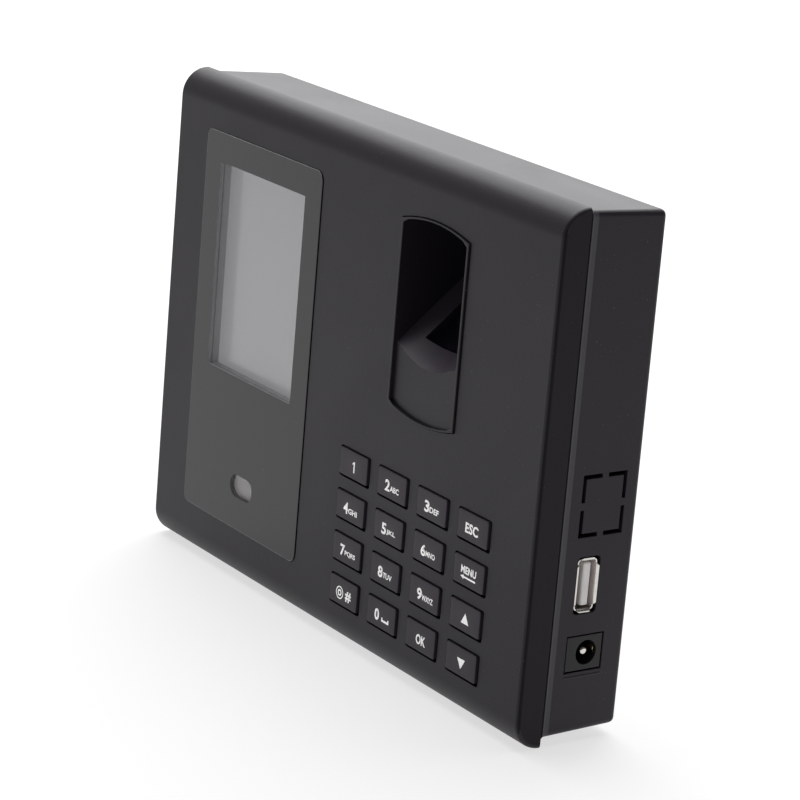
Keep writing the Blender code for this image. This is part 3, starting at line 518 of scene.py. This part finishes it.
lens_low, lens_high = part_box("display_lens")
gasket_low, gasket_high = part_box("display_gasket")
guide_low, guide_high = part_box("status_light_guide")
GASKET_WIDTH = 1.3 * MM
GUIDE_FLANGE = 1.2 * MM
PRINT_OVERLAP = 0.05 * MM
window = (gasket_low.x + GASKET_WIDTH, gasket_low.z + GASKET_WIDTH,
          gasket_high.x - GASKET_WIDTH, gasket_high.z - GASKET_WIDTH)
oval = (guide_low.x + GUIDE_FLANGE, guide_low.z + GUIDE_FLANGE,
        guide_high.x - GUIDE_FLANGE, guide_high.z - GUIDE_FLANGE)
oval_radius = (oval[3] - oval[1]) / 2 - PRINT_OVERLAP

window_outline = rounded_outline(*window, WINDOW_CORNER, 3)
oval_outline = rounded_outline(*oval, oval_radius, 10)
lens_outline = rounded_outline(lens_low.x - LENS_GROWTH, lens_low.z - LENS_GROWTH, lens_high.x,
                               lens_high.z + LENS_GROWTH, LENS_CORNER, 10)

printed_sheet = upright_plate("display_lens_print", [lens_outline, window_outline, oval_outline],
                              lens_low.y, lens_high.y)
rim_mesh = bmesh.new()
rim_mesh.from_mesh(printed_sheet.data)
outer_rim = [e for e in rim_mesh.edges if is_sharp(e, 35.0) and lies_at(e, 1, lens_low.y)
             and not (window[0] - MM < e.verts[0].co.x < window[2] + MM
                      and oval[1] - MM < e.verts[0].co.z < window[3] + MM)]
bmesh.ops.bevel(rim_mesh, geom=outer_rim, offset=LENS_EDGE, segments=3, profile=0.5, affect="EDGES",
                clamp_overlap=False)
rim_mesh.to_mesh(printed_sheet.data)
rim_mesh.free()
settle(printed_sheet, printed_acrylic(), TERMINAL, "display_lens")
foam = open_foam()
# The outer rim's bevel faces, except those facing right, are painted pale: a painted highlight along the
# lens's edge.
lens_edge_painted_highlight = unfilled_plastic("polished_acrylic_edge", EDGE_HIGHLIGHT_TONE, 0.2)
assign(printed_sheet, lens_edge_painted_highlight, lambda middle, normal: -0.97 < normal.y < -0.1 and normal.x < 0.2)
assign(printed_sheet, foam, lambda middle, normal: (abs(normal.y) < 0.1 and middle.z > oval[3] + MM
                                                    and window[0] - MM < middle.x < window[2] + MM
                                                    and middle.z < window[3] + MM))
level_faces(printed_sheet)

acrylic = clear_acrylic()
for name, outline in (("display_lens_window", window_outline), ("display_lens_oval", oval_outline)):
    pane = upright_plate(name, [outline], lens_low.y, lens_high.y)
    settle(pane, acrylic, TERMINAL)

refine("display_gasket", foam)
refine("lcd_panel", display_glass(), 0.1 * MM)
pressed_steel = bare_metal("pressed_steel", (0.60, 0.59, 0.57), 0.30, (0.15, 1.0, 1.0))
refine("lcd_tray", pressed_steel, 0.2 * MM)


def flex_film():
    """Amber polyimide film with copper tracks that run along it."""
    finish = Finish("amber_film")
    place = finish.place()
    tracks = finish.node("TexWave", {"bands_direction": "X"}, {"Vector": place, "Scale": 520.0})
    track_mask = finish.step(tracks, 0.35, 0.55)
    finish.feed("Base Color", finish.mix(track_mask, (0.28, 0.11, 0.02), (0.42, 0.20, 0.06)))
    finish.feed("Roughness", 0.34 - track_mask * 0.08)
    finish.bump(track_mask, 0.02 * MM)
    return finish


dress("lcd_ribbon", flex_film())

# ------------------------------------------------------------------ lamp
# A short milky light guide stands behind the lens's oval, held by its flange under the cover,
# and carries the light of one lamp on the front board.


def milky_plastic():
    """Diffusing acrylic: clouded inside, satin outside."""
    finish = Finish("milky_diffuser", Subsurface_Weight=0.2, Subsurface_Scale=0.002)
    place = finish.place()
    cloud = finish.noise(place, 300.0, 3.0)
    finish.feed("Base Color", finish.mix(cloud, (0.42, 0.39, 0.40), (0.52, 0.48, 0.49)))
    finish.feed("Roughness", 0.45 + (cloud - 0.5) * 0.2)
    finish.bump(cloud, 0.02 * MM)
    return finish


refine("status_light_guide", milky_plastic(), 0.1 * MM, lambda e: lies_at(e, 1, guide_low.y))
refine("status_led", natural_nylon, 0.2 * MM)

# ------------------------------------------------------------------ keys
# Sixteen caps moulded in the same black plastic, with a smoother top that fingers polish. Each
# slides in its own opening, held by a flange, on a soft dome of the silicone mat behind. The
# signs are pad-printed in white.

KEY_FLANGE = 1.2 * MM
FLANGE_DEPTH = 1.2 * MM
KEY_CORNER = 0.5 * MM
KEY_CROWN = 0.05 * MM
KEY_ROUNDING = ((0.0, 0.16), (0.03, 0.08), (0.08, 0.02), (0.16, 0.0))
INK_WHITE = (0.92, 0.92, 0.92)
INK_THICKNESS = 0.015 * MM
# The signs' faint glow is painted light that keeps them bright.
INK_PAINTED_GLOW = 0.22
LETTER_WEIGHT = 0.03
CIRCLE_POINTS = 32


def silicone():
    """Moulded silicone: soft, dusty, slightly uneven."""
    finish = Finish("grey_silicone")
    place = finish.place()
    bloom = finish.noise(place, 90.0, 4.0)
    finish.feed("Base Color", finish.mix(bloom, (0.095, 0.095, 0.098), (0.14, 0.14, 0.14)))
    finish.feed("Roughness", 0.72 + bloom * 0.15)
    finish.bump(finish.noise(place, 1800.0, 2.0), 0.02 * MM)
    return finish


refine("keypad_mat", silicone(), angle=28.0)


def key_plastic():
    """The caps' plastic: textured like the case, polished in the middle and rubbed pale at the rim."""
    finish = Finish("key_black_abs", Specular_IOR_Level=ABS_SHINE)
    place = finish.place()
    across, _, up = finish.axes(place)
    sparks = finish.noise(place, 2600.0, 2.0, roughness=0.6)
    tint = finish.node("ObjectInfo", output="Random")
    clouding = finish.noise(place, 60.0, 3.0)
    side_rim = finish.step(abs(across), 5.8 * MM, 6.6 * MM)
    end_rim = finish.step(abs(up), 2.9 * MM, 3.6 * MM)
    rim = finish.node("Math", {"operation": "MAXIMUM"}, {0: side_rim, 1: end_rim})
    polish_across = 1 - finish.step(abs(across), 1.0 * MM, 5.5 * MM)
    polish = polish_across * (1 - finish.step(abs(up), 0.8 * MM, 3.4 * MM))
    rubbed = rim * finish.step(finish.noise(place, 700.0, 3.0), 0.40, 0.75)
    body = finish.mix(clouding * 0.6 + sparks * 0.4, shade(ABS_BLACK, 1.6), shade(ABS_BLACK, 2.1))
    finish.feed("Base Color", finish.mix(rubbed * 0.5, body, shade(ABS_BLACK, 2.0)))
    finish.feed("Roughness", 0.46 - polish * 0.07 + (sparks - 0.5) * 0.07 + (tint - 0.5) * 0.03)
    finish.bump(sparks, 0.02 * MM)
    return finish


def loft(name, rings):
    """A closed solid through rings that have the same number of points."""
    shape = bmesh.new()
    loops = [[shape.verts.new(point) for point in ring] for ring in rings]
    for first, second in zip(loops, loops[1:]):
        for index, corner in enumerate(first):
            following = (index + 1) % len(first)
            shape.faces.new((corner, first[following], second[following], second[index]))
    shape.faces.new(reversed(loops[0]))
    shape.faces.new(loops[-1])
    bmesh.ops.recalc_face_normals(shape, faces=shape.faces)
    mesh = bpy.data.meshes.new(name)
    shape.to_mesh(mesh)
    shape.free()
    return mesh


def key_ring(half_width, half_height, inset, depth):
    """One ring of a key cap, in the key's own place: inset from its outline, at a depth."""
    right, top = half_width - inset, half_height - inset
    radius = max(KEY_CORNER - inset, 0.12 * MM)
    return [(across, depth, up) for across, up in rounded_outline(-right, -top, right, top, radius, 4)]


def key_mesh(low, high):
    """Flange, straight walls, a small rounding, and a top that is crowned very slightly."""
    half_width = (high.x - low.x) / 2 - KEY_FLANGE
    half_height = (high.z - low.z) / 2 - KEY_FLANGE
    rings = [key_ring(half_width, half_height, -KEY_FLANGE, high.y),
             key_ring(half_width, half_height, -KEY_FLANGE, high.y - FLANGE_DEPTH),
             key_ring(half_width, half_height, 0.0, high.y - FLANGE_DEPTH)]
    for inset, drop in KEY_ROUNDING:
        rings.append(key_ring(half_width, half_height, inset * MM, low.y + drop * MM + KEY_CROWN))
    for share in (0.25, 0.5, 0.75, 0.95):
        inset = half_height * share
        rings.append(key_ring(half_width, half_height, inset, low.y + KEY_CROWN * (1 - share) ** 2))
    return loft("key_cap", rings)


key_names = [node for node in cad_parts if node.startswith("key_")]
first_low, first_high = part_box(key_names[0])
cap_mesh = key_mesh(first_low, first_high)
key_finish = key_plastic()
# The caps' side walls get a near-black, dull copy of the plastic: painted shade in the gap around each key.
key_wall_painted_shade = moulded_plastic("key_side_black", shade(ABS_BLACK, 0.2), 0.75, 0.01 * MM, shine=0.05)
for face in cap_mesh.polygons:
    face.material_index = int(face.center.y > first_low.y + KEY_CROWN + 0.1 * MM)
key_centres = {}
for node in key_names:
    low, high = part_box(node)
    key_centres[node] = Vector(((low.x + high.x) / 2, 0.0, (low.z + high.z) / 2))
    cap = bpy.data.objects.new(node + "_cap", cap_mesh.copy())
    cap.location = key_centres[node]
    settle(cap, key_finish, node, node)
    cap.data.materials.append(key_wall_painted_shade.material)
    level_faces(cap, 40.0)


def pad_print():
    """White pad-printing ink: thin, satin, a little starved where the pad lifted. It glows faintly: painted
    light that keeps it bright.
    """
    finish = Finish("white_ink", Emission_Color=(1.0, 1.0, 1.0, 1.0), Emission_Strength=INK_PAINTED_GLOW)
    place = finish.place()
    starved = finish.step(finish.noise(place, 1900.0, 3.0), 0.30, 0.62)
    finish.feed("Base Color", finish.mix(starved, shade(INK_WHITE, 0.86), INK_WHITE))
    finish.feed("Roughness", 0.58 - starved * 0.12)
    finish.bump(starved, 0.004 * MM)
    return finish


def text_faces(words, left, bottom, right, top):
    """Letters as flat faces of (right, up), fitted exactly into a box around the key's middle."""
    curve = bpy.data.curves.new("letters", "FONT")
    curve.body = words
    curve.offset = LETTER_WEIGHT
    curve.resolution_u = 4
    mesh = curve_faces(curve)
    points = [vertex.co.copy() for vertex in mesh.vertices]
    low = [min(point[axis] for point in points) for axis in (0, 1)]
    high = [max(point[axis] for point in points) for axis in (0, 1)]
    for vertex, point in zip(mesh.vertices, points):
        vertex.co = (left + (point.x - low[0]) / (high[0] - low[0]) * (right - left),
                     bottom + (point.y - low[1]) / (high[1] - low[1]) * (top - bottom), 0.0)
    return mesh


def circle(centre, radius):
    """A closed circle: the last point is one step before the first."""
    return arc_points(centre, radius, 0, 360 - 360 / CIRCLE_POINTS, CIRCLE_POINTS - 1)


# The signs, in millimetres from the middle of their key: each box is left, bottom, right and top.
DIGIT_BOX = (-3.05, -1.85, -0.85, 1.2)
LETTER_BOX = (-0.7, -1.55, 3.45, -0.05)
WIDE_LETTER_BOX = (-0.8, -1.55, 4.25, -0.05)
signs = {node: [] for node in key_names}
signs["key_1"] = [outline_faces([(0.15, -1.85), (0.65, -1.85), (0.65, 1.1), (0.3, 1.1), (-0.4, 0.67),
                                 (-0.4, 0.2), (0.15, 0.53)])]
for digit, letters in (("2", "ABC"), ("3", "DEF"), ("4", "GHI"), ("5", "JKL"), ("6", "MNO"), ("8", "TUV")):
    signs["key_" + digit] = [text_faces(digit, *DIGIT_BOX), text_faces(letters, *LETTER_BOX)]
for digit, letters in (("7", "PQRS"), ("9", "WXYZ")):
    signs["key_" + digit] = [text_faces(digit, *DIGIT_BOX), text_faces(letters, *WIDE_LETTER_BOX)]
signs["key_esc"] = [text_faces("ESC", -3.05, -1.7, 2.55, 0.95)]
signs["key_menu"] = [text_faces("MENU", -3.3, -0.5, 3.3, 1.45),
                     outline_faces([(-3.4, -1.4), (-2.0, -0.85), (-2.0, -1.2), (3.15, -1.2),
                                    (3.15, -1.65), (-2.0, -1.65), (-2.0, -2.0)])]
signs["key_up"] = [outline_faces([(-1.4, -1.5), (1.95, -1.5), (0.25, 1.25)])]
signs["key_down"] = [outline_faces([(-1.55, 0.9), (0.15, -1.8), (1.85, 0.9)])]
signs["key_ok"] = [text_faces("OK", -1.8, -1.8, 2.5, 0.85)]
signs["key_0"] = [text_faces("0", -2.95, -1.85, -0.85, 1.25),
                  outline_faces([(0.35, -0.45), (0.9, -0.45), (0.9, -1.0), (3.2, -1.0), (3.2, -0.45),
                                 (3.75, -0.45), (3.75, -1.55), (0.35, -1.55)])]
RING = (-1.7, -0.4)
signs["key_at_hash"] = [outline_faces(circle(RING, 1.75), circle(RING, 1.42)),
                        outline_faces(circle(RING, 0.92), circle(RING, 0.45)),
                        text_faces("#", 1.0, -1.95, 3.85, 0.95)]

ink = pad_print()
for node, parts in signs.items():
    shape = bmesh.new()
    for part in parts:
        shape.from_mesh(part)
        bpy.data.meshes.remove(part)
    raise_up = Matrix.Translation((0, first_low.y, 0)) @ Matrix.Rotation(math.radians(90), 4, "X")
    bmesh.ops.transform(shape, matrix=raise_up @ Matrix.Scale(MM, 4), verts=shape.verts)
    thick = bmesh.ops.extrude_face_region(shape, geom=shape.faces)
    moved = [item for item in thick["geom"] if isinstance(item, bmesh.types.BMVert)]
    bmesh.ops.translate(shape, verts=moved, vec=(0, -INK_THICKNESS, 0))
    bmesh.ops.recalc_face_normals(shape, faces=shape.faces)
    mesh = bpy.data.meshes.new(node + "_sign")
    shape.to_mesh(mesh)
    shape.free()
    sign = bpy.data.objects.new(node + "_sign", mesh)
    sign.location = key_centres[node]
    settle(sign, ink, node)

# ------------------------------------------------------------------ host socket
# A shell folded from tinned steel sheet, with flared lips around its mouth, holds a moulded
# tongue with four contacts. It is soldered to the main board and shows in the housing's right side.

SHELL_SHEET = 0.4 * MM
TONGUE_REACH = 0.7 * MM
TONGUE_GROWTH = 0.45 * MM
LIP_LENGTH = 0.6 * MM
LIP_FLARE = 0.38 * MM
LIP_BEND = ((0.0, 0.0, 0.0), (0.35, 0.10, 0.05), (0.75, 0.55, 0.30), (1.0, 1.0, 0.60))
WALL_CORNERS = 2.6 * MM
END_CORNERS = 1.6 * MM

tinned_steel = bare_metal("tinned_steel", (0.70, 0.67, 0.64), 0.22, (1.0, 0.3, 1.0), 900.0)
shell_low, shell_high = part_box("usb_shell")
shell = refine("usb_shell", tinned_steel, 0.08 * MM, lambda e: lies_at(e, 0, shell_high.x))
# The inner back wall of the shell gets a paler, less metallic copy of the steel, so it reads bright where
# the steel would mirror the dark inside: painted light.
satin_inside = bare_metal("satin_inside", (0.80, 0.72, 0.70), 0.5)
satin_inside.shader.inputs["Metallic"].default_value = 0.35
assign(shell, satin_inside, lambda middle, normal: (normal.y < -0.9 and shell_low.y + 2 * MM < middle.y
                                                    < shell_high.y - 0.1 * MM))


def lip(name, start, along, outward, length):
    """One flared lip: it leaves the shell's mouth, bends outwards, and has clipped corners.

    LIP_BEND's rows hold the shares of its length and flare, and what is clipped from each end in mm.
    """
    along, outward = Vector(along), Vector(outward)
    rings = []
    for advance, flare, shrink in LIP_BEND:
        middle = Vector(start) + Vector((1, 0, 0)) * (LIP_LENGTH * advance) + outward * (LIP_FLARE * flare)
        reach = along * (length / 2 - shrink * MM)
        sheet = outward * (SHELL_SHEET / 2)
        rings.append([middle - reach - sheet, middle + reach - sheet, middle + reach + sheet,
                      middle - reach + sheet])
    piece = bpy.data.objects.new(name, loft(name, rings))
    settle(piece, tinned_steel, TERMINAL)
    level_faces(piece, 50.0)


shell_middle = (shell_low + shell_high) / 2
sheet_half = SHELL_SHEET / 2
wall_length = (shell_high.z - shell_low.z) - WALL_CORNERS
end_length = (shell_high.y - shell_low.y) - END_CORNERS
mouth = shell_high.x - 0.02 * MM
lip("usb_lip_front", (mouth, shell_low.y + sheet_half, shell_middle.z), (0, 0, 1), (0, -1, 0), wall_length)
lip("usb_lip_back", (mouth, shell_high.y - sheet_half, shell_middle.z), (0, 0, 1), (0, 1, 0), wall_length)
lip("usb_lip_top", (mouth, shell_middle.y, shell_high.z - sheet_half), (0, 1, 0), (0, 0, 1), end_length)
lip("usb_lip_bottom", (mouth, shell_middle.y, shell_low.z + sheet_half), (0, 1, 0), (0, 0, -1), end_length)

tongue_finish = unfilled_plastic("tongue_nylon", (0.86, 0.83, 0.82), 0.42)
tongue_low, tongue_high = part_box("usb_tongue")
tongue = refine("usb_tongue", tongue_finish, 0.55 * MM, segments=4)
for vertex in tongue.data.vertices:
    if vertex.co.x > (tongue_low.x + tongue_high.x) / 2:
        vertex.co.x += TONGUE_REACH
    if vertex.co.y > (tongue_low.y + tongue_high.y) / 2:
        vertex.co.y += TONGUE_GROWTH
contact_gold = bare_metal("plated_contact", (0.72, 0.56, 0.28), 0.24, (0.2, 1.0, 1.0))
for number in range(1, 5):
    refine(f"usb_contact_{number}", contact_gold, 0.08 * MM, segments=1)

# ------------------------------------------------------------------ power inlet
# A square moulded jack, flush with the side: a round bore with a nickel pin in the middle and a
# sprung leaf at its edge that touches the plug's sleeve. It is soldered to the main board.

JACK_FRONT = 0.9 * MM

jack_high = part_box("dc_jack_body")[1]
jack_plastic = moulded_plastic("jack_black", (0.015, 0.015, 0.016), 0.40, 0.012 * MM, 1500.0)
refine("dc_jack_body", jack_plastic, 0.14 * MM,
       lambda e: all(vertex.co.x > jack_high.x - JACK_FRONT for vertex in e.verts))
refine("dc_jack_pin", nickel_plate)
refine("dc_jack_spring", contact_gold, 0.08 * MM, segments=1)

# ------------------------------------------------------------------ rear housing
# A deep tray in the same ABS, drawn in a little towards the back. Its side has the inlets, a low
# step and a knock-out tab on four bridges, its back two keyholes, sound holes, the opening for the
# wires and the wells of the case screws. A dark lip inside the seam keeps light out.

HOUSING_EDGE = 0.14 * MM
SIDE_DRAFT = 1.4 * MM
LIP_OVERHANG = 0.4 * MM
LIP_HIGHLIGHT_DEPTH = 2.2 * MM
LIP_HIGHLIGHT_TONE = (0.064, 0.061, 0.067)
LIP_NEAR = 0.6 * MM
WALL_NEAR = 0.05 * MM
SEAM_CORNER = 0.8 * MM
SEAM_INSETS = (1.4 * MM, 2.1 * MM)
CONTACT_GAP = 0.02 * MM
STEP_HEIGHT = 17.2 * MM
STEP_SUNK = 0.05 * MM
STEP_RISE = ((13.0, 0.0), (13.6, 0.13), (24.4, 0.13), (25.0, 0.0))

housing_low, housing_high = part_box("rear_housing")
housing_depth = housing_high.y - housing_low.y


def outer_edge(edge):
    """An edge of the lip, or of an opening on the outside of a side wall or of the back."""
    if lies_at(edge, 1, housing_high.y):
        return True
    if lies_at(edge, 1, housing_low.y):
        return all(min(housing_high.x - abs(vertex.co.x), housing_high.z - vertex.co.z,
                       vertex.co.z - housing_low.z) < LIP_NEAR for vertex in edge.verts)
    for vertex in edge.verts:
        drawn_in = LIP_OVERHANG + SIDE_DRAFT * (vertex.co.y - housing_low.y) / housing_depth
        if abs(abs(vertex.co.x) - (housing_high.x - drawn_in)) > WALL_NEAR:
            return False
    return True


def lip_painted_highlight(finish, place):
    """A painted highlight: the flared lip by the seam is painted paler than the wall behind it."""
    across, depth, _ = finish.axes(place)
    near_seam = 1 - finish.step(depth, housing_low.y + 0.85 * LIP_HIGHLIGHT_DEPTH, housing_low.y + LIP_HIGHLIGHT_DEPTH)
    outside = finish.step(abs(across), housing_high.x - 1.2 * MM, housing_high.x - 0.9 * MM)
    return near_seam * outside * 0.85, LIP_HIGHLIGHT_TONE


# The lip's paler band by the seam is a painted highlight.
housing_plastic = moulded_plastic("housing_black_abs", shade(ABS_BLACK, 1.3), ABS_ROUGHNESS + 0.02,
                                  SPARK_TEXTURE * 1.15, 2000.0, lip_painted_highlight)
refine("rear_housing", housing_plastic, HOUSING_EDGE, outer_edge)

seam_rings = []
for inset in SEAM_INSETS:
    seam_rings.append(rounded_outline(housing_low.x + inset, housing_low.z + inset, housing_high.x - inset,
                                      housing_high.z - inset, SEAM_CORNER, 4))
seam_lip = upright_plate("seam_lip", seam_rings, SEAM + CONTACT_GAP, housing_low.y - CONTACT_GAP)
settle(seam_lip, inner_black, TERMINAL)

# Each row of STEP_RISE is a place behind the face and the step's height there, in millimetres.
step_rings = []
for depth, height in STEP_RISE:
    back_by = FACE + depth * MM
    wall = housing_high.x - LIP_OVERHANG - SIDE_DRAFT * (back_by - housing_low.y) / housing_depth
    step_rings.append([(wall - STEP_SUNK, back_by, STEP_HEIGHT - 0.35 * MM),
                       (wall + height * MM, back_by, STEP_HEIGHT - 0.1 * MM),
                       (wall + height * MM, back_by, STEP_HEIGHT + 0.1 * MM),
                       (wall - STEP_SUNK, back_by, STEP_HEIGHT + 0.5 * MM)])
inlet_step = bpy.data.objects.new("inlet_step", loft("inlet_step", step_rings))
settle(inlet_step, housing_plastic, TERMINAL)
level_faces(inlet_step, 50.0)

# ------------------------------------------------------------------ screws
# Zinc plated steel with a cross recess: four long ones go through the housing's wells into the
# cover, and short ones hold each board on its posts.

zinc_plate = bare_metal("zinc_plate", (0.56, 0.56, 0.57), 0.30)
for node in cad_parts:
    if "_screw_" in node:
        refine(node, zinc_plate, 0.1 * MM, segments=1)

# ------------------------------------------------------------------ studio
# A wide pale table that glows faintly, so that shadows on it stay weak. A large soft light hangs
# overhead, one behind fades the top face and a weak one fills in from the left. The camera is low
# at the terminal's right.

FLOOR_HALF = 3.5
FLOOR_TONE = (0.30, 0.30, 0.30)
FLOOR_GLOW = 0.66
FLOOR_DROP = 0.05 * MM
AIR_STRENGTH = 0.10
LENS_LENGTH = 147.59


def table_paint():
    """A pale light table with a very faint mottle: its own glow softens every shadow on it."""
    finish = Finish("pale_table", Specular_IOR_Level=0.2, Emission_Color=(1.0, 1.0, 1.0, 1.0),
                    Emission_Strength=FLOOR_GLOW)
    place = finish.place()
    mottle = finish.noise(place, 3.0, 3.0)
    finish.feed("Base Color", finish.mix(mottle, shade(FLOOR_TONE, 0.99), shade(FLOOR_TONE, 1.01)))
    finish.feed("Roughness", 0.85 + mottle * 0.1)
    return finish


floor_shape = bmesh.new()
bmesh.ops.create_grid(floor_shape, x_segments=8, y_segments=8, size=FLOOR_HALF)
floor_mesh = bpy.data.meshes.new("table")
floor_shape.to_mesh(floor_mesh)
floor_shape.free()
table = bpy.data.objects.new("table", floor_mesh)
table.location = (0, 0, -FLOOR_DROP)
bpy.context.scene.collection.objects.link(table)
table_finish = table_paint()
floor_mesh.materials.append(table_finish.material)


def soft_light(name, place, aim, width, height, power):
    """A rectangular soft box that points at a spot."""
    lamp = bpy.data.lights.new(name, "AREA")
    lamp.shape = "RECTANGLE"
    lamp.size, lamp.size_y = width, height
    lamp.energy = power
    holder = bpy.data.objects.new(name, lamp)
    holder.location = place
    holder.rotation_euler = (Vector(aim) - Vector(place)).to_track_quat("-Z", "Y").to_euler()
    bpy.context.scene.collection.objects.link(holder)


soft_light("overhead_light", (-0.55, 0.30, 1.5), (0, 0, 0.05), 1.8, 1.8, 42.0)
soft_light("back_light", (-1.2, 0.95, 0.55), (0, 0, 0.1), 1.6, 0.9, 13.0)
soft_light("left_light", (-1.5, -0.55, 0.75), (0, 0, 0.07), 2.0, 1.3, 4.0)

world = bpy.data.worlds.new("studio_air")
world.use_nodes = True
air = world.node_tree.nodes["Background"]
air.inputs["Color"].default_value = (1.0, 1.0, 1.0, 1.0)
air.inputs["Strength"].default_value = AIR_STRENGTH
bpy.context.scene.world = world

CAMERA_PLACE = (0.69328, -0.461465, 0.28758)
CAMERA_TURN = (74.846, -4.656, 57.364)
camera_data = bpy.data.cameras.new("camera")
camera_data.lens = LENS_LENGTH
camera_data.sensor_width = 36.0
camera_data.shift_y = 0.002
camera_data.clip_start = 0.02
camera_data.clip_end = 20.0
camera = bpy.data.objects.new("camera", camera_data)
camera.location = CAMERA_PLACE
camera.rotation_euler = [math.radians(angle) for angle in CAMERA_TURN]
bpy.context.scene.collection.objects.link(camera)
bpy.context.scene.camera = camera
bpy.context.scene.view_settings.view_transform = "Standard"
